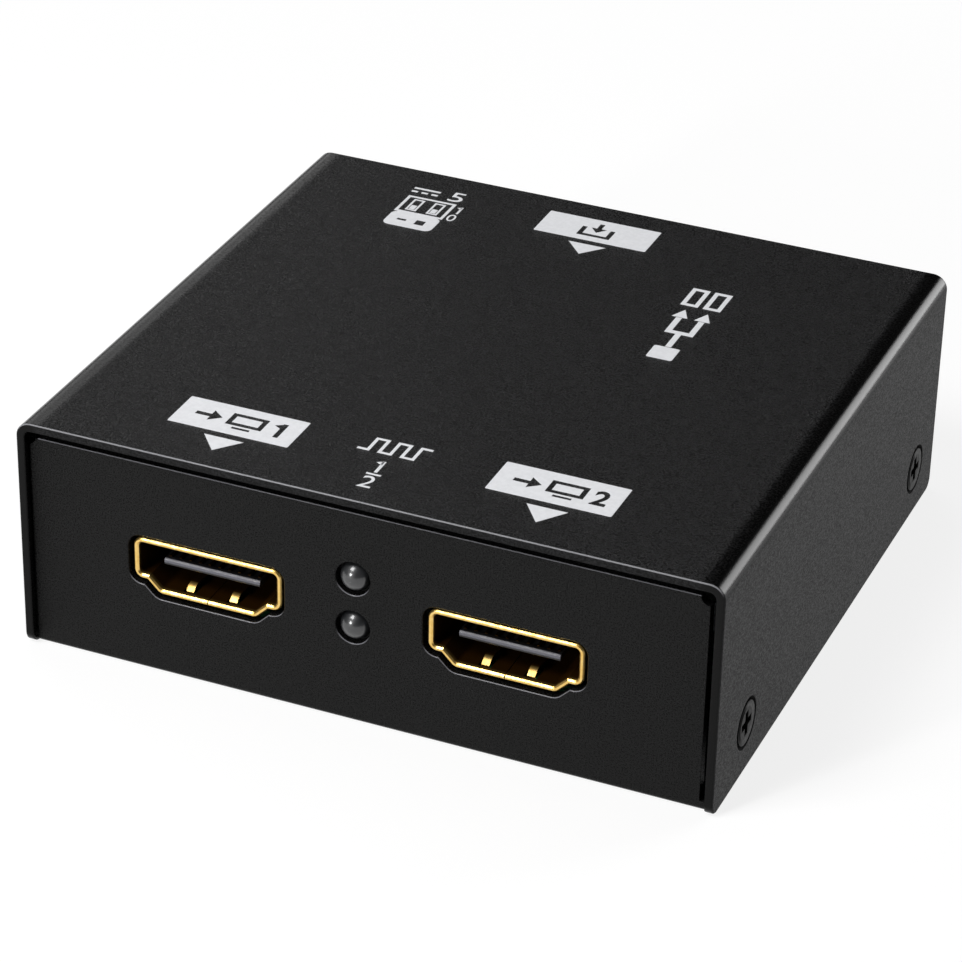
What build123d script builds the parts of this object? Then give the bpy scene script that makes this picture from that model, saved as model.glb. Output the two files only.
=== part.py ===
from build123d import *
import os

# Two-way video splitter in a folded steel case.
# The middle of the underside is the origin, +X runs to the right along the front, the front
# faces -Y and +Z is up. All sizes are in millimetres.

# Case
CASE_WIDTH = 68.5
CASE_DEPTH = 64.6
CASE_HEIGHT = 23.8
COVER_SHEET = 0.8
COVER_BEND_RADIUS = 0.7
COVER_CORNER_RADIUS = 1.2
COVER_EDGE_CHAMFER = 0.1

# Chassis
CHASSIS_SHEET = 1.0
CHASSIS_BEND_RADIUS = 0.5
CHASSIS_SIDE_GAP = 0.1
PANEL_RECESS = 0.8
PANEL_TOP_GAP = 1.0
PANEL_RIGHT_TRIM = 0.65
PANEL_CHAMFER = 0.9
PANEL_NOTCH_RADIUS = 0.9
CUTOUT_BEVEL = 0.07
TAB_SIDE_GAP = 0.5
TAB_WIDTH = 7.0
TAB_HEIGHT = 9.4
TAB_CHAMFER = 1.2
TAB_FOLD_CHAMFER = 0.6
TAB_RELIEF_WIDTH = 0.7
TAB_RELIEF_DEPTH = 2.2

# Cover screws, countersunk in the sides
SCREW_FRONT_INSET = 8.2
SCREW_REAR_INSET = 6.3
SCREW_HEIGHT = 5.15
SCREW_THREAD_RADIUS = 1.25
SCREW_HEAD_RADIUS = 2.15
COUNTERSINK_RADIUS = 2.55
SCREW_LENGTH = 3.45
SCREW_CROSS_SPAN = 2.5
SCREW_CROSS_SLOT = 0.78
SCREW_CROSS_DEPTH = 0.8

# Standoffs and board screws
STANDOFF_SIDE_INSET = 7.75
STANDOFF_FRONT_INSET = 16.8
STANDOFF_REAR_INSET = 21.8
STANDOFF_HEIGHT = 5.0
STANDOFF_HEX_RADIUS = 2.7
STANDOFF_HEAD_HEX_RADIUS = 3.1
STANDOFF_TAP_DEPTH = 4.6
BOARD_SCREW_THREAD_RADIUS = 1.5
BOARD_SCREW_LENGTH = 5.4
BOARD_SCREW_HEAD_RADIUS = 2.75
BOARD_SCREW_HEAD_HEIGHT = 1.8
SHANK_SIDES_COUNT = 12

# Fits
THREAD_CLEARANCE = 0.05
CLINCH_CLEARANCE = 0.02
HOLE_CLEARANCE = 0.2
LEG_CLEARANCE = 0.15
OVERRUN = 1.0

# Circuit board
BOARD_THICKNESS = 1.6
BOARD_SCREW_TIP_GAP = 0.4
BOARD_PANEL_GAP = 0.3
BOARD_CORNER_CHAMFER = 1.2
LEAD_THROUGH = 1.0
LEAD_HOLE_RADIUS = 0.45
LEAD_HOLE_SIDES_COUNT = 8

# Video ports, measured from the axis of the mouth
PORT_1_SHARE = -0.2276
PORT_2_SHARE = 0.2019
PORT_SWITCH_GAP = 2.13
PORT_AXIS_ABOVE_BOARD = 3.5
PORT_WIDTH = 14.0
PORT_HEIGHT = 4.55
PORT_SIDE_HEIGHT = 3.325
PORT_STEP = 1.05
PORT_FOOT_WIDTH = 9.4
PORT_CORNER_RADIUS = 0.45
PORT_WALL = 0.5
PORT_LIP_CHAMFER = 0.15
PORT_SEAM = 0.08
PORT_DEPTH = 11.0
PORT_FACE_RECESS = 0.25
PORT_PANEL_CLEARANCE = 0.4
LEG_WIDTH = 1.2
LEG_NEAR = 3.4
LEG_FAR = 8.6

# Spring fingers pressed out of the port shells
SPRING_WIDTH = 0.78
SPRING_SPACING = 4.4
SPRING_THICKNESS = 0.2
SPRING_SLOT_GAP = 0.22
SPRING_TIP = 0.85
SPRING_PEAK = 1.5
SPRING_ROOT = 7.0
SPRING_RISE = 0.62
SPRING_PEAK_RADIUS = 1.2

# Insulator with its tongue, and the contacts
TONGUE_WIDTH = 9.7
TONGUE_THICKNESS = 0.7
TONGUE_RISE = 0.2
TONGUE_SETBACK = 1.0
TONGUE_NOSE = 0.15
INSULATOR_DEPTH = 2.6
INSULATOR_CLEARANCE = 0.05
INSULATOR_FOOT_WIDTH = 8.8
INSULATOR_FOOT_DEPTH = 1.9
UPPER_CONTACTS_COUNT = 10
LOWER_CONTACTS_COUNT = 9
CONTACT_PITCH = 1.0
CONTACT_WIDTH = 0.3
CONTACT_THICKNESS = 0.15
CONTACT_PROUD = 0.05
CONTACT_CLEARANCE = 0.02
CONTACT_SETBACK = 0.6
CONTACT_BACK_GAP = 0.3

# Link lamps
LAMP_SHARE = -0.0131
LAMP_LOWER_ABOVE_BOARD = 2.47
LAMP_PITCH = 5.08
LAMP_RADIUS = 1.5
LAMP_HOLE_RADIUS = 1.7
LAMP_PROUD = 0.5
LAMP_LENGTH = 5.6
LAMP_FLANGE_RADIUS = 1.85
LAMP_FLANGE_THICKNESS = 1.0
LAMP_FLAT = 0.2
LAMP_CLEARANCE = 0.06
LAMP_HOLDER_WIDTH = 5.6
LAMP_HOLDER_PANEL_GAP = 0.2
LAMP_HOLDER_TOP_WALL = 1.1
LAMP_HOLDER_CHAMFER = 0.5
ARC_MIDDLE_SHARE = 0.5 ** 0.5
LEAD_SIZE = 0.5
LEAD_SPACING = 2.54
LEAD_BEND_BACK = 0.6
LEAD_ROW_STEP = 1.8

# Power inlet
JACK_SIDE_INSET = 10.25
JACK_AXIS_ABOVE_BOARD = 6.5
JACK_WIDTH = 9.0
JACK_TOP = 4.5
JACK_PANEL_GAP = 0.2
JACK_NOSE_RADIUS = 3.9
JACK_NOSE_RECESS = 0.2
JACK_HOLE_RADIUS = 4.15
JACK_COLLAR_DEPTH = 3.4
JACK_DEPTH = 13.8
JACK_WAIST = 0.6
JACK_ROUND = 2.4
JACK_BORE_RADIUS = 3.15
JACK_BORE_DEPTH = 10.2
JACK_MOUTH_CHAMFER = 0.3
JACK_PIN_RADIUS = 1.0
JACK_PIN_SETBACK = 1.2
JACK_PIN_TIP_CHAMFER = 0.4
JACK_PIN_TAIL = 0.4
BLADE_THICKNESS = 0.3
BLADE_WIDTH = 2.6
BLADE_TOP = 2.2
SLEEVE_SPRING_WIDTH = 1.8
SLEEVE_SPRING_TIP = 4.4
SLEEVE_SPRING_PEAK = 5.6
SLEEVE_SPRING_ROOT = 9.6
SLEEVE_SPRING_RISE = 0.45
SLEEVE_SLOT_CLEARANCE = 0.15

# Setting switch
SWITCH_JACK_GAP = 3.0
SWITCH_WAYS = 2
SWITCH_PITCH = 2.54
SWITCH_AXIS_ABOVE_BOARD = 3.6
SWITCH_WIDTH = 6.0
SWITCH_TOP = 3.0
SWITCH_PANEL_GAP = 0.15
SWITCH_FACE_WALL = 0.8
SWITCH_BASE_DEPTH = 2.8
SWITCH_EDGE = 0.25
SWITCH_WINDOW_BORDER = 0.45
SLIDER_TRAVEL = 1.4
SLIDER_WIDTH = 1.25
SLIDER_HEIGHT = 1.25
SLIDER_PROUD = 0.7
SLIDER_CLEARANCE = 0.1
SLIDER_FLANGE_BORDER = 0.32
SLIDER_FLANGE_THICKNESS = 0.9
TERMINAL_DEPTH = 1.4
TERMINAL_FRONT = 0.7

# Parts on the board, their middles as shares of the case's width and depth from its middle
CHIP_PLACE_SHARES = (-0.015, -0.046)
CHIP_SIZE = 9.0
CHIP_HEIGHT = 0.9
CHIP_CORNER = 0.3
CHIP_CAP_LENGTH = 1.6
CHIP_CAP_WIDTH = 0.8
CHIP_CAP_HEIGHT = 0.8
CHIP_CAP_COUNT = 6
CHIP_CAP_PITCH = 1.9
CHIP_CAP_GAP = 1.4
MEMORY_GAP = 1.5
MEMORY_WIDTH = 3.9
MEMORY_LENGTH = 4.9
MEMORY_HEIGHT = 1.5
MEMORY_STANDOFF = 0.1
MEMORY_LEAD_COUNT = 4
MEMORY_LEAD_PITCH = 1.27
MEMORY_LEAD_WIDTH = 0.42
MEMORY_LEAD_REACH = 1.0
MEMORY_LEAD_THICKNESS = 0.2
MEMORY_LEAD_HEIGHT = 0.6
CRYSTAL_GAP = 1.5
CRYSTAL_LENGTH = 10.8
CRYSTAL_WIDTH = 4.4
CRYSTAL_HEIGHT = 3.4
CRYSTAL_RIM = 0.35
CRYSTAL_RIM_HEIGHT = 0.45
REGULATOR_PLACE_SHARES = (-0.124, 0.163)
REGULATOR_LENGTH = 6.5
REGULATOR_WIDTH = 3.5
REGULATOR_HEIGHT = 1.6
REGULATOR_STANDOFF = 0.1
REGULATOR_TAB_WIDTH = 3.0
REGULATOR_TAB_REACH = 1.7
REGULATOR_LEG_PITCH = 2.3
REGULATOR_LEG_WIDTH = 0.7
REGULATOR_LEG_HEIGHT = 0.6
INDUCTOR_PLACE_SHARES = (-0.255, 0.139)
INDUCTOR_SIZE = 5.8
INDUCTOR_HEIGHT = 3.0
INDUCTOR_CORNER = 1.1
INDUCTOR_CORE_RADIUS = 2.4
INDUCTOR_CORE_PROUD = 0.3
CAN_PLACE_SHARES = (0.212, 0.209)
CAN_RADIUS = 3.15
CAN_HEIGHT = 6.4
CAN_BASE_SIZE = 6.6
CAN_BASE_HEIGHT = 1.2
CAN_BASE_CHAMFER = 1.2

# Places worked out from the sizes above
COVER_INSIDE_X = CASE_WIDTH / 2 - COVER_SHEET
CHASSIS_HALF_WIDTH = COVER_INSIDE_X - CHASSIS_SIDE_GAP
TAB_OUTSIDE_X = COVER_INSIDE_X - TAB_SIDE_GAP
FRONT_FACE_Y = PANEL_RECESS - CASE_DEPTH / 2
REAR_FACE_Y = CASE_DEPTH / 2 - PANEL_RECESS
PANEL_TOP = CASE_HEIGHT - COVER_SHEET - PANEL_TOP_GAP
SCREW_FRONT_Y = SCREW_FRONT_INSET - CASE_DEPTH / 2
SCREW_REAR_Y = CASE_DEPTH / 2 - SCREW_REAR_INSET
STANDOFF_X = CASE_WIDTH / 2 - STANDOFF_SIDE_INSET
STANDOFF_FRONT_Y = STANDOFF_FRONT_INSET - CASE_DEPTH / 2
STANDOFF_REAR_Y = CASE_DEPTH / 2 - STANDOFF_REAR_INSET
BOARD_UNDERSIDE = CHASSIS_SHEET + STANDOFF_HEIGHT
BOARD_TOP = BOARD_UNDERSIDE + BOARD_THICKNESS
JACK_X = JACK_SIDE_INSET - CASE_WIDTH / 2
SWITCH_X = JACK_X + JACK_WIDTH / 2 + SWITCH_JACK_GAP + SWITCH_WIDTH / 2
PORT_IN_X = SWITCH_X + SWITCH_WIDTH / 2 + PORT_SWITCH_GAP + PORT_WALL + PORT_WIDTH / 2
PORT_1_X = CASE_WIDTH * PORT_1_SHARE
PORT_2_X = CASE_WIDTH * PORT_2_SHARE
LAMP_X = CASE_WIDTH * LAMP_SHARE
CHIP_X = CASE_WIDTH * CHIP_PLACE_SHARES[0]
CHIP_Y = CASE_DEPTH * CHIP_PLACE_SHARES[1]
CHIP_CAP_REACH = CHIP_SIZE / 2 + CHIP_CAP_GAP + CHIP_CAP_LENGTH / 2
CHIP_ROWS_REACH = CHIP_CAP_REACH + CHIP_CAP_LENGTH / 2
CRYSTAL_X = CHIP_X - CHIP_ROWS_REACH - CRYSTAL_GAP - CRYSTAL_WIDTH / 2
MEMORY_X = CHIP_X + CHIP_ROWS_REACH + MEMORY_GAP + MEMORY_LEAD_REACH + MEMORY_WIDTH / 2
SCREW_TIP_X = CASE_WIDTH / 2 - SCREW_LENGTH
BOARD_HALF_WIDTH = SCREW_TIP_X - BOARD_SCREW_TIP_GAP
BOARD_FRONT_Y = FRONT_FACE_Y + CHASSIS_SHEET + BOARD_PANEL_GAP
BOARD_REAR_Y = REAR_FACE_Y - CHASSIS_SHEET - BOARD_PANEL_GAP
PORT_Z = BOARD_TOP + PORT_AXIS_ABOVE_BOARD
LAMP_LOWER_Z = BOARD_TOP + LAMP_LOWER_ABOVE_BOARD
LAMP_HEIGHTS = (LAMP_LOWER_Z + LAMP_PITCH, LAMP_LOWER_Z)
JACK_Z = BOARD_TOP + JACK_AXIS_ABOVE_BOARD
SWITCH_Z = BOARD_TOP + SWITCH_AXIS_ABOVE_BOARD
LEAD_TIP_Z = BOARD_UNDERSIDE - LEAD_THROUGH


def block(x, y, z):
    """Box between two limits on each axis."""
    middle = Pos((x[0] + x[1]) / 2, (y[0] + y[1]) / 2, (z[0] + z[1]) / 2)
    return middle * Box(x[1] - x[0], y[1] - y[0], z[1] - z[0])


def span(size, middle=0):
    """Two limits that lie evenly about a middle."""
    return (middle - size / 2, middle + size / 2)


def rod(radius, start, end, place):
    """Cylinder along the local Y axis from start to end."""
    length = end - start
    return place * Pos(0, (start + end) / 2, 0) * Rot(90, 0, 0) * Cylinder(radius, length)


def upright(radius, bottom, top):
    """Cylinder along Z between two heights."""
    return Pos(0, 0, (bottom + top) / 2) * Cylinder(radius, top - bottom)


def prism(radius, sides, bottom, top):
    """Upright prism of a regular polygon between two heights."""
    return Pos(0, 0, bottom) * extrude(RegularPolygon(radius, sides), amount=top - bottom)


def shank(radius, bottom, top):
    """Many-sided prism that stands for a thread, or for the hole that one passes."""
    return prism(radius, SHANK_SIDES_COUNT, bottom, top)


def ribbon(points, x):
    """Strip whose side view is an outline of (y, z) points, between two limits in X."""
    face = Plane.YZ * make_face(Polyline(*points, close=True))
    return Pos(x[0], 0, 0) * extrude(face, amount=x[1] - x[0], dir=(1, 0, 0))


def front_place(x, z):
    """Frame on the outer face of the front panel, with local +Y into the box."""
    return Pos(x, FRONT_FACE_Y, z)


def rear_place(x, z):
    """Frame on the outer face of the rear panel, with local +Y into the box."""
    return Pos(x, REAR_FACE_Y, z) * Rot(0, 0, 180)


PORT_PLACES = {
    "video_out_1": front_place(PORT_1_X, PORT_Z),
    "video_out_2": front_place(PORT_2_X, PORT_Z),
    "video_in": rear_place(PORT_IN_X, PORT_Z),
}
LAMP_PLACES = [front_place(LAMP_X, height) for height in LAMP_HEIGHTS]
JACK_PLACE = rear_place(JACK_X, JACK_Z)
SWITCH_PLACE = rear_place(SWITCH_X, SWITCH_Z)
SIDES = (-1, 1)


# Screw places

def cover_screw_places():
    """Frames on the sides of the case, with local +Z pointing out along each screw."""
    places = []
    for side in SIDES:
        for y in (SCREW_FRONT_Y, SCREW_REAR_Y):
            places.append(Pos(side * CASE_WIDTH / 2, y, SCREW_HEIGHT) * Rot(0, side * 90, 0))
    return places


def standoff_points():
    """Places of the standoffs on the floor."""
    return [(side * STANDOFF_X, y) for side in SIDES for y in (STANDOFF_FRONT_Y, STANDOFF_REAR_Y)]


# Case

def top_cover():
    """Folded cover: lid and two sides, with round bends and eased edges."""
    outer = Pos(0, CASE_HEIGHT / 2) * Rectangle(CASE_WIDTH, CASE_HEIGHT)
    outer = fillet(outer.vertices().group_by(Axis.Y)[-1], COVER_BEND_RADIUS + COVER_SHEET)
    front_plane = Plane((0, -CASE_DEPTH / 2, 0), x_dir=(1, 0, 0), z_dir=(0, -1, 0))
    shell = extrude(front_plane * outer, amount=CASE_DEPTH, dir=(0, 1, 0))
    shell = fillet(shell.edges().filter_by(Axis.X).group_by(Axis.Z)[0], COVER_CORNER_RADIUS)
    low_cross_edges = shell.edges().filter_by(Axis.X).filter_by(lambda edge: edge.center().Z < PANEL_TOP)
    bend_lines = shell.edges().filter_by(Axis.Y).filter_by(lambda edge: edge.center().Z > PANEL_TOP)
    rim = [edge for edge in shell.edges() if edge not in low_cross_edges and edge not in bend_lines]
    shell = chamfer(rim, COVER_EDGE_CHAMFER)
    inner_height = CASE_HEIGHT - COVER_SHEET
    inner = Pos(0, (inner_height - OVERRUN) / 2) * Rectangle(2 * COVER_INSIDE_X, inner_height + OVERRUN)
    inner = fillet(inner.vertices().group_by(Axis.Y)[-1], COVER_BEND_RADIUS)
    cavity = extrude(front_plane * inner, amount=CASE_DEPTH, dir=(0, 1, 0))
    shell -= Pos(0, -OVERRUN, 0) * cavity
    shell -= Pos(0, OVERRUN, 0) * cavity
    for place in cover_screw_places():
        shell -= place * countersink()
    return shell


def countersink():
    """Cone that opens at Z = 0, cut well past the sheet."""
    bottom_radius = COUNTERSINK_RADIUS - COVER_SHEET - TAB_SIDE_GAP
    depth = COUNTERSINK_RADIUS - bottom_radius
    return Pos(0, 0, -depth / 2) * Cone(bottom_radius, COUNTERSINK_RADIUS, depth)


def base_chassis():
    """Floor with the front and rear panels folded up, tapped side tabs and all cut-outs."""
    profile = [
        (FRONT_FACE_Y, PANEL_TOP),
        (FRONT_FACE_Y, 0),
        (REAR_FACE_Y, 0),
        (REAR_FACE_Y, PANEL_TOP),
        (REAR_FACE_Y - CHASSIS_SHEET, PANEL_TOP),
        (REAR_FACE_Y - CHASSIS_SHEET, CHASSIS_SHEET),
        (FRONT_FACE_Y + CHASSIS_SHEET, CHASSIS_SHEET),
        (FRONT_FACE_Y + CHASSIS_SHEET, PANEL_TOP),
    ]
    side = make_face(Polyline(*profile, close=True))
    side = fillet(side.vertices().group_by(Axis.Y)[0], CHASSIS_BEND_RADIUS)
    width = span(2 * CHASSIS_HALF_WIDTH)
    chassis = Pos(width[0], 0, 0) * extrude(Plane.YZ * side, amount=width[1] - width[0], dir=(1, 0, 0))
    chassis = with_side_tabs(chassis)
    chassis -= panel_edge_cuts()
    for place in PORT_PLACES.values():
        outline = port_outline(PORT_WALL + PORT_PANEL_CLEARANCE)
        chassis -= place * port_prism(outline, -OVERRUN, CHASSIS_SHEET + OVERRUN)
    for place in LAMP_PLACES:
        chassis -= rod(LAMP_HOLE_RADIUS, -OVERRUN, CHASSIS_SHEET + OVERRUN, place)
    chassis -= rod(JACK_HOLE_RADIUS, -OVERRUN, CHASSIS_SHEET + OVERRUN, JACK_PLACE)
    chassis -= SWITCH_PLACE * switch_window()
    chassis = bevel_front_panel(chassis)
    for hole in at_standoffs(prism(STANDOFF_HEAD_HEX_RADIUS + CLINCH_CLEARANCE, 6, 0, CHASSIS_SHEET)):
        chassis -= hole
    return chassis


def with_side_tabs(chassis):
    """Adds the four tabs folded up from the floor, with a relief slot at each end of a fold."""
    inside = TAB_OUTSIDE_X - CHASSIS_SHEET
    for side in SIDES:
        for y in (SCREW_FRONT_Y, SCREW_REAR_Y):
            ends = span(TAB_WIDTH, y)
            edge = sorted((side * TAB_OUTSIDE_X, side * (CHASSIS_HALF_WIDTH + OVERRUN)))
            chassis -= block(edge, ends, (-OVERRUN, CHASSIS_SHEET + OVERRUN))
            tab = block(sorted((side * inside, side * TAB_OUTSIDE_X)), ends, (0, TAB_HEIGHT))
            tab = chamfer(tab.edges().filter_by(Axis.X).group_by(Axis.Z)[-1], TAB_CHAMFER)
            fold = tab.edges().filter_by(Axis.Y).group_by(Axis.Z)[0].sort_by(Axis.X)
            chassis += chamfer(fold[-1] if side > 0 else fold[0], TAB_FOLD_CHAMFER)
            reach = sorted((side * (TAB_OUTSIDE_X - TAB_RELIEF_DEPTH), side * (CHASSIS_HALF_WIDTH + OVERRUN)))
            for end in (ends[0] - TAB_RELIEF_WIDTH, ends[1]):
                chassis -= block(reach, (end, end + TAB_RELIEF_WIDTH), (-OVERRUN, CHASSIS_SHEET + OVERRUN))
    for place in cover_screw_places():
        depth = COVER_SHEET + TAB_SIDE_GAP + CHASSIS_SHEET + OVERRUN
        chassis -= place * shank(SCREW_THREAD_RADIUS + THREAD_CLEARANCE, -depth, 0)
    return chassis


def panel_edge_cuts():
    """Cuts on the front panel: a chamfer at the top left, a notch at the top right, a trimmed right edge."""
    left = -CHASSIS_HALF_WIDTH
    right = CHASSIS_HALF_WIDTH - PANEL_RIGHT_TRIM
    points = [(left, PANEL_TOP - PANEL_CHAMFER), (left, PANEL_TOP), (left + PANEL_CHAMFER, PANEL_TOP)]
    plane = Plane((0, FRONT_FACE_Y - OVERRUN, 0), x_dir=(1, 0, 0), z_dir=(0, -1, 0))
    depth = CHASSIS_SHEET + 2 * OVERRUN
    wedge = extrude(plane * make_face(Polyline(*points, close=True)), amount=depth, dir=(0, 1, 0))
    notch = rod(PANEL_NOTCH_RADIUS, -OVERRUN, CHASSIS_SHEET + OVERRUN, front_place(right, PANEL_TOP))
    panel_y = (FRONT_FACE_Y - OVERRUN, FRONT_FACE_Y + CHASSIS_SHEET + OVERRUN)
    trim = block((right, CHASSIS_HALF_WIDTH + OVERRUN), panel_y, (CHASSIS_SHEET, PANEL_TOP + OVERRUN))
    return wedge + notch + trim


def bevel_front_panel(chassis):
    """Breaks the outer edges of the front panel's cut-outs and of its top."""
    outer_faces = chassis.faces().filter_by(Axis.Y).group_by(Axis.Y)[0]
    panel = outer_faces.sort_by(SortBy.AREA)[-1]
    edges = [edge for wire in panel.inner_wires() for edge in wire.edges()]
    edges += panel.edges().filter_by(Axis.X).group_by(Axis.Z)[-1]
    return chamfer(edges, CUTOUT_BEVEL)


# Fasteners

def cover_screw():
    """Countersunk screw whose axis is Z, with the case's side and its head's face at Z = 0."""
    land = COUNTERSINK_RADIUS - SCREW_HEAD_RADIUS
    cone_depth = SCREW_HEAD_RADIUS - SCREW_THREAD_RADIUS
    cone = Pos(0, 0, -land - cone_depth / 2) * Cone(SCREW_THREAD_RADIUS, SCREW_HEAD_RADIUS, cone_depth)
    screw = upright(SCREW_HEAD_RADIUS, -land, 0) + cone
    screw += shank(SCREW_THREAD_RADIUS, -SCREW_LENGTH, -land - cone_depth / 2)
    cross = Rectangle(SCREW_CROSS_SPAN, SCREW_CROSS_SLOT) + Rectangle(SCREW_CROSS_SLOT, SCREW_CROSS_SPAN)
    return screw - extrude(cross, amount=-SCREW_CROSS_DEPTH)


def cover_screws():
    """The four screws that hold the cover on the chassis."""
    return [place * cover_screw() for place in cover_screw_places()]


def standoff():
    """Clinched hexagonal standoff with a larger head in the floor and a blind tapped bore."""
    body = prism(STANDOFF_HEAD_HEX_RADIUS, 6, 0, CHASSIS_SHEET)
    body += prism(STANDOFF_HEX_RADIUS, 6, CHASSIS_SHEET, BOARD_UNDERSIDE)
    tap_radius = BOARD_SCREW_THREAD_RADIUS + THREAD_CLEARANCE
    return body - shank(tap_radius, BOARD_UNDERSIDE - STANDOFF_TAP_DEPTH, BOARD_UNDERSIDE)


def board_screw():
    """Plain-headed screw seated on the board."""
    head = upright(BOARD_SCREW_HEAD_RADIUS, BOARD_TOP, BOARD_TOP + BOARD_SCREW_HEAD_HEIGHT)
    return head + shank(BOARD_SCREW_THREAD_RADIUS, BOARD_TOP - BOARD_SCREW_LENGTH, BOARD_TOP)


def at_standoffs(solid):
    """One copy of a solid at each standoff."""
    return [Pos(x, y, 0) * solid for x, y in standoff_points()]


# Circuit board

def main_board():
    """Board with its mounting holes, slots for the shells' legs and holes for the leads."""
    board = block(span(2 * BOARD_HALF_WIDTH), (BOARD_FRONT_Y, BOARD_REAR_Y), (BOARD_UNDERSIDE, BOARD_TOP))
    board = chamfer(board.edges().filter_by(Axis.Z), BOARD_CORNER_CHAMFER)
    for hole in at_standoffs(shank(BOARD_SCREW_THREAD_RADIUS + HOLE_CLEARANCE, BOARD_UNDERSIDE, BOARD_TOP)):
        board -= hole
    for place in PORT_PLACES.values():
        for leg in port_legs(LEG_CLEARANCE):
            board -= place * leg
    for place, back in zip(LAMP_PLACES, lead_backs()):
        for side in SIDES:
            lead = place.position + Vector(side * LEAD_SPACING / 2, back + LEAD_SIZE / 2, 0)
            board -= lead_hole(lead)
    for slot in jack_blade_slots():
        board -= JACK_PLACE * slot
    for x, y in terminal_points():
        board -= lead_hole((SWITCH_PLACE * Pos(x, y, 0)).position)
    return board


def lead_hole(lead):
    """Many-sided hole through the board for one wire lead."""
    return Pos(lead.X, lead.Y, 0) * prism(LEAD_HOLE_RADIUS, LEAD_HOLE_SIDES_COUNT, BOARD_UNDERSIDE, BOARD_TOP)


# Video ports

def port_face():
    """Face of the port's mouth with sharp corners, centred on its axis."""
    half = PORT_WIDTH / 2
    top = PORT_HEIGHT / 2
    step_z = top - PORT_SIDE_HEIGHT
    right = [(half, top), (half, step_z), (half - PORT_STEP, step_z), (PORT_FOOT_WIDTH / 2, -top)]
    left = [(-x, z) for x, z in reversed(right)]
    return make_face(Polyline(*right, *left, close=True))


def outer_corners(face):
    """The corners of a port's mouth that point outwards, which leaves out the two at its waist."""
    waist_x = PORT_WIDTH / 2 - PORT_STEP
    return face.vertices().filter_by(lambda corner: abs(abs(corner.X) - waist_x) > PORT_SEAM)


def port_outline(grow):
    """Face of the port's mouth with its corners rounded, grown all round."""
    face = port_face()
    face = fillet(outer_corners(face), PORT_CORNER_RADIUS)
    if grow == 0:
        return face
    return offset(face, amount=grow)


def port_prism(face, start, end):
    """Solid of a port outline between two depths behind the panel's face."""
    plane = Plane((0, start, 0), x_dir=(1, 0, 0), z_dir=(0, -1, 0))
    return extrude(plane * face, amount=end - start, dir=(0, 1, 0))


def port_legs(grow):
    """Solder legs that stand under the sides of a shell, long enough to pass the board."""
    legs = []
    half = PORT_WIDTH / 2
    bottom = LEAD_TIP_Z - PORT_Z - grow
    for side in SIDES:
        for start in (LEG_NEAR, LEG_FAR):
            x = sorted((side * (half - grow), side * (half + PORT_WALL + grow)))
            y = (start - grow, start + LEG_WIDTH + grow)
            legs.append(block(x, y, (bottom, 0)))
    return legs


def spring_finger():
    """Finger pressed inwards from a wall whose inner face is Z = 0, with its free end to the front."""
    upper = [(SPRING_ROOT, 0), (SPRING_PEAK, SPRING_RISE), (SPRING_TIP, 0)]
    lower = [(y, z - SPRING_THICKNESS) for y, z in reversed(upper)]
    face = make_face(Polyline(*upper, *lower, close=True))
    for layer, radius in ((-1, SPRING_PEAK_RADIUS), (0, SPRING_PEAK_RADIUS - SPRING_THICKNESS)):
        peak = face.vertices().filter_by(lambda corner: abs(corner.X - SPRING_PEAK) < PORT_SEAM)
        face = fillet(peak.group_by(Axis.Y)[layer], radius)
    solid = extrude(Plane.YZ * face, amount=SPRING_WIDTH / 2, dir=(1, 0, 0), both=True)
    return Pos(0, PORT_FACE_RECESS, 0) * solid


def spring_slot():
    """Slot around a spring finger, cut through a wall whose inner face is Z = 0."""
    width = SPRING_WIDTH + 2 * SPRING_SLOT_GAP
    ends = (PORT_FACE_RECESS + SPRING_TIP - SPRING_SLOT_GAP, PORT_FACE_RECESS + SPRING_ROOT)
    return block(span(width), ends, (-PORT_WALL - PORT_SEAM, PORT_SEAM))


def spring_places():
    """Frames on the shell's lower and upper inner wall, each with local +Z pointing inwards."""
    half_height = PORT_HEIGHT / 2
    places = []
    for side in SIDES:
        x = side * SPRING_SPACING / 2
        places.append(Pos(x, 0, -half_height))
        places.append(Pos(x, 0, half_height) * Rot(0, 180, 0))
    return places


def port_shell():
    """Formed metal shell: stepped mouth with a bevelled lip, seam, spring fingers and solder legs."""
    mouth = PORT_FACE_RECESS
    back = mouth + PORT_DEPTH
    shell = port_prism(port_outline(PORT_WALL), mouth, back) - port_prism(port_outline(0), mouth, back)
    shell = chamfer(shell.faces().sort_by(Axis.Y)[0].edges(), PORT_LIP_CHAMFER)
    wall_low = -PORT_HEIGHT / 2 - PORT_WALL - PORT_SEAM
    shell -= block(span(PORT_SEAM), (mouth - OVERRUN, back + OVERRUN), (wall_low, -PORT_HEIGHT / 2 + PORT_SEAM))
    foot_half = INSULATOR_FOOT_WIDTH / 2 + INSULATOR_CLEARANCE
    foot_front = back - INSULATOR_FOOT_DEPTH - INSULATOR_CLEARANCE
    shell -= block((-foot_half, foot_half), (foot_front, back + OVERRUN), (wall_low, 0))
    for place in spring_places():
        shell -= place * spring_slot()
        shell += place * spring_finger()
    for leg in port_legs(0):
        shell += leg
    return shell


def contact_rows():
    """Each row's number of contacts, with their lower and upper face."""
    top = TONGUE_RISE + TONGUE_THICKNESS / 2 + CONTACT_PROUD
    bottom = TONGUE_RISE - TONGUE_THICKNESS / 2 - CONTACT_PROUD
    upper_row = (UPPER_CONTACTS_COUNT, top - CONTACT_THICKNESS, top)
    lower_row = (LOWER_CONTACTS_COUNT, bottom, bottom + CONTACT_THICKNESS)
    return [upper_row, lower_row]


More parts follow.
